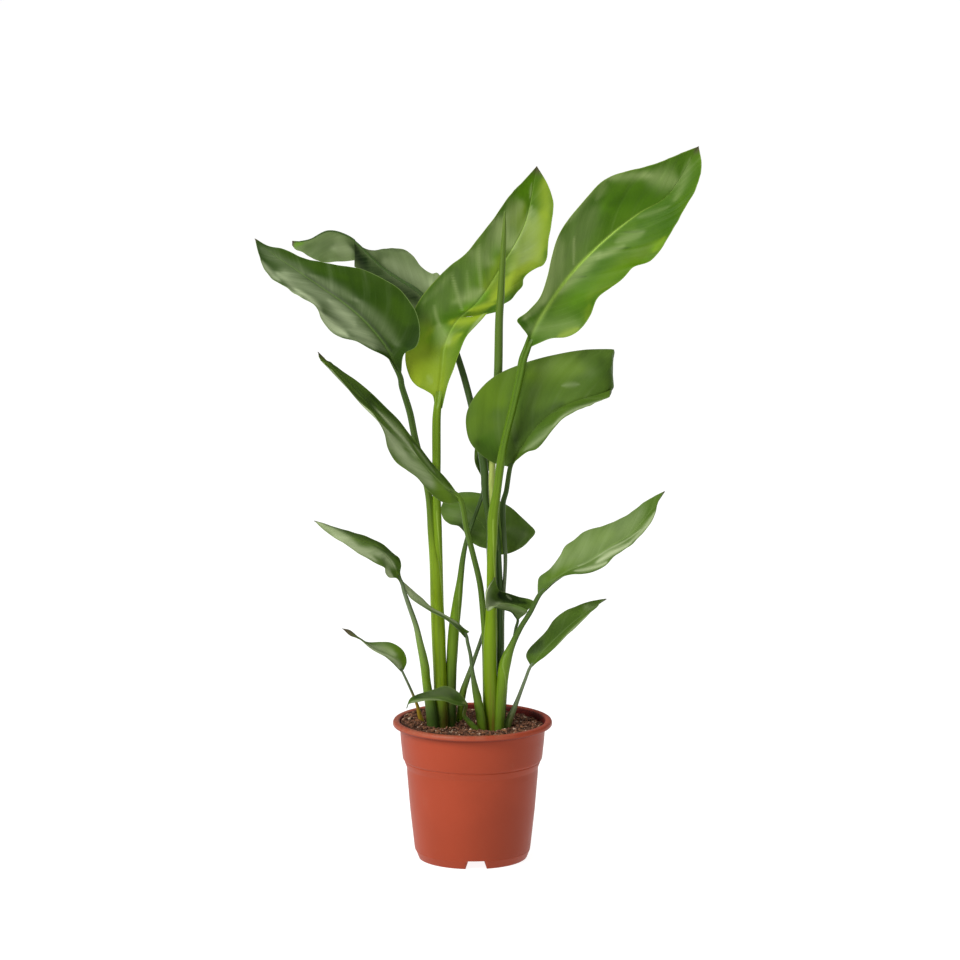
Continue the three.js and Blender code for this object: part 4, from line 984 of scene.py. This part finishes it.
def stalkTube(leaf):
    # A ring of points is carried along the curve. Its upper side is cut by the channel, and
    # round the stalk one sheath edge stands out as a step that fades all the way round. Under
    # the blade it eases into the rib, which sinks until its upper side is inside the blade.
    rows, foot = stalkPath(leaf)
    last = len(leaf["midrib"]) - 1
    ribRows = last * bySize(leaf, stalkShape["ribRowsPerStep"]) + 1
    place = np.concatenate([np.linspace(0, foot, foot * stalkShape["rowsPerStep"] + 1)[:-1],
                            np.linspace(foot, foot + last, ribRows)])
    line = curveThrough(rows, place)
    centre, radius = line[:, :3], line[:, 3]
    bladeUp = bladeFrame(leaf, np.clip(place - foot, 0, last))[2]
    along = unit(np.gradient(centre, axis=0))
    guide = bladeUp + (place < foot)[:, None] * np.array([0.0, -0.2, 0.0])
    up = unit(guide - np.sum(guide * along, axis=1)[:, None] * along)
    across = np.cross(along, up)
    part = np.clip((place - foot) / last, 0, 1)
    rise = np.clip(place / foot, 0, 1)
    ease = smoothStep(0, 0.1, part) * (place > foot)
    sides = stalkShape["sides"][0 if leaf["stalk"][0][3] > stalkShape["thickFrom"] else 1]
    turn = np.append(turnsRound(sides), 2 * math.pi - 0.02)
    sheath = rise / stalkShape["sheathLength"]
    angle = stalkShape["sheathTurn"] * (1 - smoothStep(0.1, 1, sheath))[:, None] + turn
    step = stalkShape["sheathStep"] * (1 - smoothStep(0.85, 1.0, sheath))
    reach = radius[:, None] + step[:, None] * (0.5 - turn / (2 * math.pi))
    x, h = reach * np.sin(angle), reach * np.cos(angle)
    shallow = stalkShape["channelDepth"] * smoothStep(0.25, 0.9, rise)
    depth = radius * (shallow * (1 - ease) + bladeShape["channelDepth"] * ease)
    wide = radius * (stalkShape["channelWidth"] * (1 - ease) + bladeShape["channelWidth"] * ease)
    sink = stalkShape["ribSink"] * radius * ease
    cap = radius * (1 - ease) + (sink - 0.25) * ease
    top = cap[:, None] - depth[:, None] * np.exp(-(x / wide[:, None]) ** 2)
    h = np.where(h > 0, np.minimum(h, top), h)
    ring = centre - up * sink[:, None]
    rings = ring[:, None] + across[:, None] * x[..., None] + up[:, None] * h[..., None]
    points, quads = closedTube(rings, ring[[0, -1]])
    seam = np.exp(-(turn / stalkShape["seamWidth"]) ** 2) * (step[:, None] > 0.02)
    front = np.exp(-((np.cos(angle) - 1) / 0.12) ** 2) * (1 - smoothStep(0.0, 0.2, rise))[:, None]
    values = {"seam": np.append(seam, [0, 0]), "stain": np.append(leaf.get("footStain", 0) * front, [0, 0])}
    perRing = {
        "young": sharesAlong(leaf["young"], rise),
        "bloom": sharesAlong(leaf.get("bloom", [0]), rise) * (1 - ease),
        # painted shade: the foot darkened below a leaf that shades it
        "shaded": leaf.get("footShade", 0) * smoothStep(182, 166, ring[:, 2]),
        "ochre": leaf.get("footOchre", 0) * smoothStep(185, 165, ring[:, 2]),
        "ribPart": part, "height": ring[:, 2],
        "dry": smoothStep(leaf.get("dryFrom", leafFinish["dryFrom"]), 1.0, part)}
    for key, value in perRing.items():
        values[key] = np.append(np.repeat(value, len(turn)), value[[0, -1]])
    return {"points": points, "quads": quads, "values": values, "material": 1}


def leafMaterial(name, look):
    # Upper side, underside and midrib have colours of their own, and light shines through.
    # Fine veins run from the midrib to the margin along lines of equal "vein", and so do broad
    # streaks of painted sheen and painted shade. The strokes of painted shade and painted sheen are
    # broken up by the streaks, and the gold and lush strokes are partly painted light.
    n = Nodes(name)
    rib, vein, deep, pale = n.value("rib"), n.value("vein"), n.value("deep"), n.value("pale")
    cloud, fine = n.noise(22, 3.0), n.noise(260, 2.0)
    broad = n.streaks(vein, n.value("offset"), 0.075, 2.5)
    narrow = n.streaks(vein, n.value("offset"), 0.4, 2.0)
    wave = n.math("SINE", n.times(vein, 2 * math.pi / leafFinish["veinPitch"]))
    sideVein = n.times(n.ramp(wave, 0.8, 1.0), n.ramp(narrow, 0.35, 0.65))
    hair = n.math("SINE", n.times(vein, 2 * math.pi / leafFinish["hairPitch"]))
    uneven = n.math("ADD", n.math("MULTIPLY_ADD", narrow, 0.6, broad), 0.22)
    upper = n.mix(n.ramp(cloud, 0.32, 0.68), look["upper"], look["upperDeep"])
    lower = n.mix(n.ramp(cloud, 0.3, 0.7), look["under"], look["underDeep"])
    color = n.layers(
        n.mix(n.value("under"), upper, lower),
        # broad streaks of painted sheen and painted shade
        (n.ramp(broad, 0.5, 0.78), look["sheen"], look["pale"]),
        (n.ramp(broad, 0.5, 0.22), look["shadow"], look["deep"]),
        (sideVein, 0.14, look["vein"]),
        (n.ramp(hair, 0.2, 1.0), 0.04, look["vein"]),
        # gold: yellow-green, partly painted light shining through the blade
        (n.value("gold"), 1, look["gold"]),
        # lush: saturated green, partly painted light where a face turns from the lamps
        (n.value("lush"), 1, look["lush"]),
        # painted shade, broken up by the streaks
        (deep, uneven, look["deep"]),
        # painted sheen, broken up by the streaks
        (pale, uneven, look["pale"]),
        (rib, 0.85, look["rib"]),
        (n.ramp(n.value("margin"), 1.1, 0.4), 0.5, look["margin"]),
        (n.value("dry"), 1, leafFinish["dryTip"]))
    rough = n.math("MULTIPLY_ADD", fine, 0.12, look["roughness"])
    relief = n.math("MULTIPLY_ADD", sideVein, 0.5, n.times(hair, 0.16))
    normal = n.bump(n.math("MULTIPLY_ADD", fine, 0.4, relief), 0.5, 0.0002)
    waxy = n.surface(color, rough, normal, specular=0.11)
    glow = n.add("ShaderNodeBsdfTranslucent")
    # the light through it is darker under the rib and the painted shade, and paler under the painted sheen
    glowColor = n.mix(n.math("MAXIMUM", rib, deep), look["glow"], look["deep"])
    n.plug(n.mix(pale, glowColor, look["pale"]), glow.inputs["Color"])
    n.plug(normal, glow.inputs["Normal"])
    join = n.add("ShaderNodeMixShader")
    join.inputs[0].default_value = look["glowShare"]
    n.plug(waxy.outputs[0], join.inputs[1])
    n.plug(glow.outputs[0], join.inputs[2])
    n.plug(join.outputs[0], n.output.inputs["Surface"])
    return n.material


def stalkMaterial(name, look):
    # The young yellow-green and the old dark green pass into each other, with streaks along
    # them. Brown stains lie near the foot, the sheath's edge has a pale seam, and some feet are
    # darkened by painted shade below a leaf that shades them.
    n = Nodes(name)
    streak, blotch = n.noise(420, 3.0, (1, 1, 0.035)), n.noise(60, 3.0, (1, 1, 0.4))
    young = n.mix(n.ramp(n.value("ribPart"), 0.0, 0.12), look["young"], look["underRib"])
    low = n.ramp(n.value("height"), 200.0, 135.0)
    color = n.layers(
        n.mix(n.value("young"), look["stalk"], young),
        (n.ramp(streak, 0.42, 0.72), 0.3, look["streak"]),
        (n.times(n.ramp(blotch, 0.5, 0.66), low), 0.35, leafFinish["stain"]),
        (n.value("stain"), n.ramp(streak, 0.3, 0.6), leafFinish["stain"]),
        (n.value("seam"), 0.5, look["seam"]),
        (n.value("bloom"), 1, leafFinish["bloom"]),
        (n.value("ochre"), 1, leafFinish["ochre"]),
        # painted shade on the foot, below a leaf that shades it
        (n.value("shaded"), 1, look["deep"]),
        (n.value("dry"), 1, leafFinish["dryTip"]))
    rough = n.math("MULTIPLY_ADD", blotch, 0.12, 0.36)
    n.surface(color, rough, n.bump(streak, 0.35, 0.0002), specular=0.18,
              inside=0.12, insideDepth=0.004, insideColor=(0.6, 1.0, 0.2))
    return n.material


# Rows are (x, y, z, radius) in millimetres. A cream band fades in and out between the heights
# in metres. The roll's free edge winds round it by that many turns and stands out by the edge.
rolledLeaf = {
    "rows": [
        (28, 6, 104, 3.6), (29, 6, 180, 3.6), (29, 5, 279, 3.4), (28, 5, 316, 3.3),
        (26, 5, 349, 3.3), (22, 6, 376, 3.4), (21, 8, 400, 3.5), (21, 10, 423, 3.5),
        (24, 10, 471, 3.9), (27, 9, 523, 4.5), (28, 8, 578, 4.2), (30, 8, 607, 3.7),
        (33, 10, 661, 2.7), (34, 11, 692, 0.9)],
    "turns": 1.4, "edge": 0.55, "low": paint(58, 86, 30), "high": paint(84, 108, 24),
    "streak": paint(60, 90, 20), "seam": paint(140, 164, 84), "cream": paint(156, 170, 84),
    "creamFrom": (0.362, 0.372), "creamTo": (0.465, 0.445),
}


def rolledLeafTube():
    # a ring carried up the curve; the free edge of the roll is a step that winds round it
    start = 2.2
    rows = np.array(rolledLeaf["rows"], float)
    place = np.linspace(0, len(rows) - 1, 260)
    line = curveThrough(rows, place)
    centre, radius = line[:, :3], line[:, 3]
    along = unit(np.gradient(centre, axis=0))
    across = unit(np.cross(along, [[0.0, 1.0, 0.0]]))
    up = np.cross(across, along)
    part = place / place[-1]
    turn = np.append(turnsRound(40), 2 * math.pi - 0.02)
    angle = turn + (start + 2 * math.pi * rolledLeaf["turns"] * part)[:, None]
    edge = rolledLeaf["edge"] * np.minimum(1, radius / 3.5) * smoothStep(0.25, 0.4, part)
    reach = radius[:, None] + edge[:, None] * (0.5 - turn / (2 * math.pi))
    rings = (centre[:, None] + across[:, None] * (reach * np.cos(angle))[..., None]
             + up[:, None] * (reach * np.sin(angle))[..., None])
    points, quads = closedTube(rings, np.vstack([centre[:1], centre[-1:] + along[-1:] * 1.5]))
    seam = np.exp(-(turn / 0.2) ** 2) * (edge[:, None] > 0.02)
    values = {"part": np.append(np.repeat(part, len(turn)), [0, 1]), "seam": np.append(seam, [0, 0])}
    return {"points": points, "quads": quads, "values": values}


def rolledLeafMaterial():
    # darker below and yellower above, with streaks along it and a cream band half way up
    n = Nodes("rolled leaf")
    streak, height = n.noise(500, 3.0, (1, 1, 0.03)), n.place("Z")
    cream = n.times(n.ramp(height, *rolledLeaf["creamFrom"]), n.ramp(height, *rolledLeaf["creamTo"]))
    color = n.layers(
        n.mix(n.ramp(n.value("part"), 0.4, 0.95), rolledLeaf["low"], rolledLeaf["high"]),
        (cream, 1, rolledLeaf["cream"]),
        (n.ramp(streak, 0.42, 0.7), 0.35, rolledLeaf["streak"]),
        (n.value("seam"), 0.5, rolledLeaf["seam"]))
    n.surface(color, 0.38, n.bump(streak, 0.3, 0.0002), specular=0.25,
              inside=0.12, insideDepth=0.003, insideColor=(0.6, 1.0, 0.2))
    return n.material


makePiece("rolled_leaf_spear", [rolledLeafTube()], [rolledLeafMaterial()], "rolled_new_leaf")

firstSeed = 11  # each leaf has folds and ripples of its own
bladeMaterials = {key: leafMaterial(key + " blade", look) for key, look in looks.items()}
stalkMaterials = {key: stalkMaterial(key + " stalk", look) for key, look in looks.items()}
for number, (name, leaf) in enumerate(leaves.items()):
    look = leaf["look"]
    parts = [bladeShell(leaf, number + firstSeed), stalkTube(leaf)]
    piece = makePiece(name + "_leaf", parts, [bladeMaterials[look], stalkMaterials[look]],
                      "leaf_" + name, sharp=60)
    print(piece.name, len(piece.data.polygons), "faces")


# Metres. A light is its place, its size and its power in watts; the lens is in millimetres.
studio = {
    "floorSize": 60.0, "floor": paint(150, 150, 150), "floorGlow": 0.9, "sky": 0.35,
    "key": ((-2.6, -2.4, 2.6), 2.0, 170.0), "top": ((0.3, 0.4, 3.2), 2.2, 30.0), "target": (0, 0, 0.3),
    "cameraPlace": (0.008, -4.5, 1.161), "cameraPitch": 9.49, "lens": 161.775,
}


def addFloor():
    half = studio["floorSize"] / 2
    mesh = bpy.data.meshes.new("studio_floor")
    corners = [(-half, -half, 0), (half, -half, 0), (half, half, 0), (-half, half, 0)]
    mesh.from_pydata(corners, [], [(0, 1, 2, 3)])
    floor = addObject("studio_floor", mesh)
    n = Nodes("pale floor")
    n.surface(studio["floor"], 0.9, None, specular=0.1, glow=(1, 1, 1, 1), glowStrength=studio["floorGlow"])
    mesh.materials.append(n.material)


def addLight(name, place, size, power):
    # a square lamp that points at the plant
    data = bpy.data.lights.new(name, "AREA")
    data.shape, data.size, data.energy = "SQUARE", size, power
    light = addObject(name, data)
    light.location = place
    away = np.array(place) - np.array(studio["target"])
    yaw = math.atan2(away[0], -away[1])
    tilt = math.atan2(math.hypot(away[0], away[1]), away[2])
    light.rotation_euler = (tilt, 0, yaw)


def addCamera():
    data = bpy.data.cameras.new("camera")
    data.sensor_width, data.lens, data.clip_end = 36.0, studio["lens"], 200.0
    camera = addObject("camera", data)
    camera.location = studio["cameraPlace"]
    camera.rotation_euler = (math.radians(90 - studio["cameraPitch"]), 0, 0)
    bpy.context.scene.camera = camera


addFloor()
addLight("key softbox", *studio["key"])
addLight("top softbox", *studio["top"])
addCamera()
world = bpy.data.worlds.new("studio")
world.use_nodes = True
sky = world.node_tree.nodes["Background"].inputs
sky["Color"].default_value = (1, 1, 1, 1)
sky["Strength"].default_value = studio["sky"]
bpy.context.scene.world = world
bpy.context.scene.view_settings.view_transform = "Standard"
print("studio done")
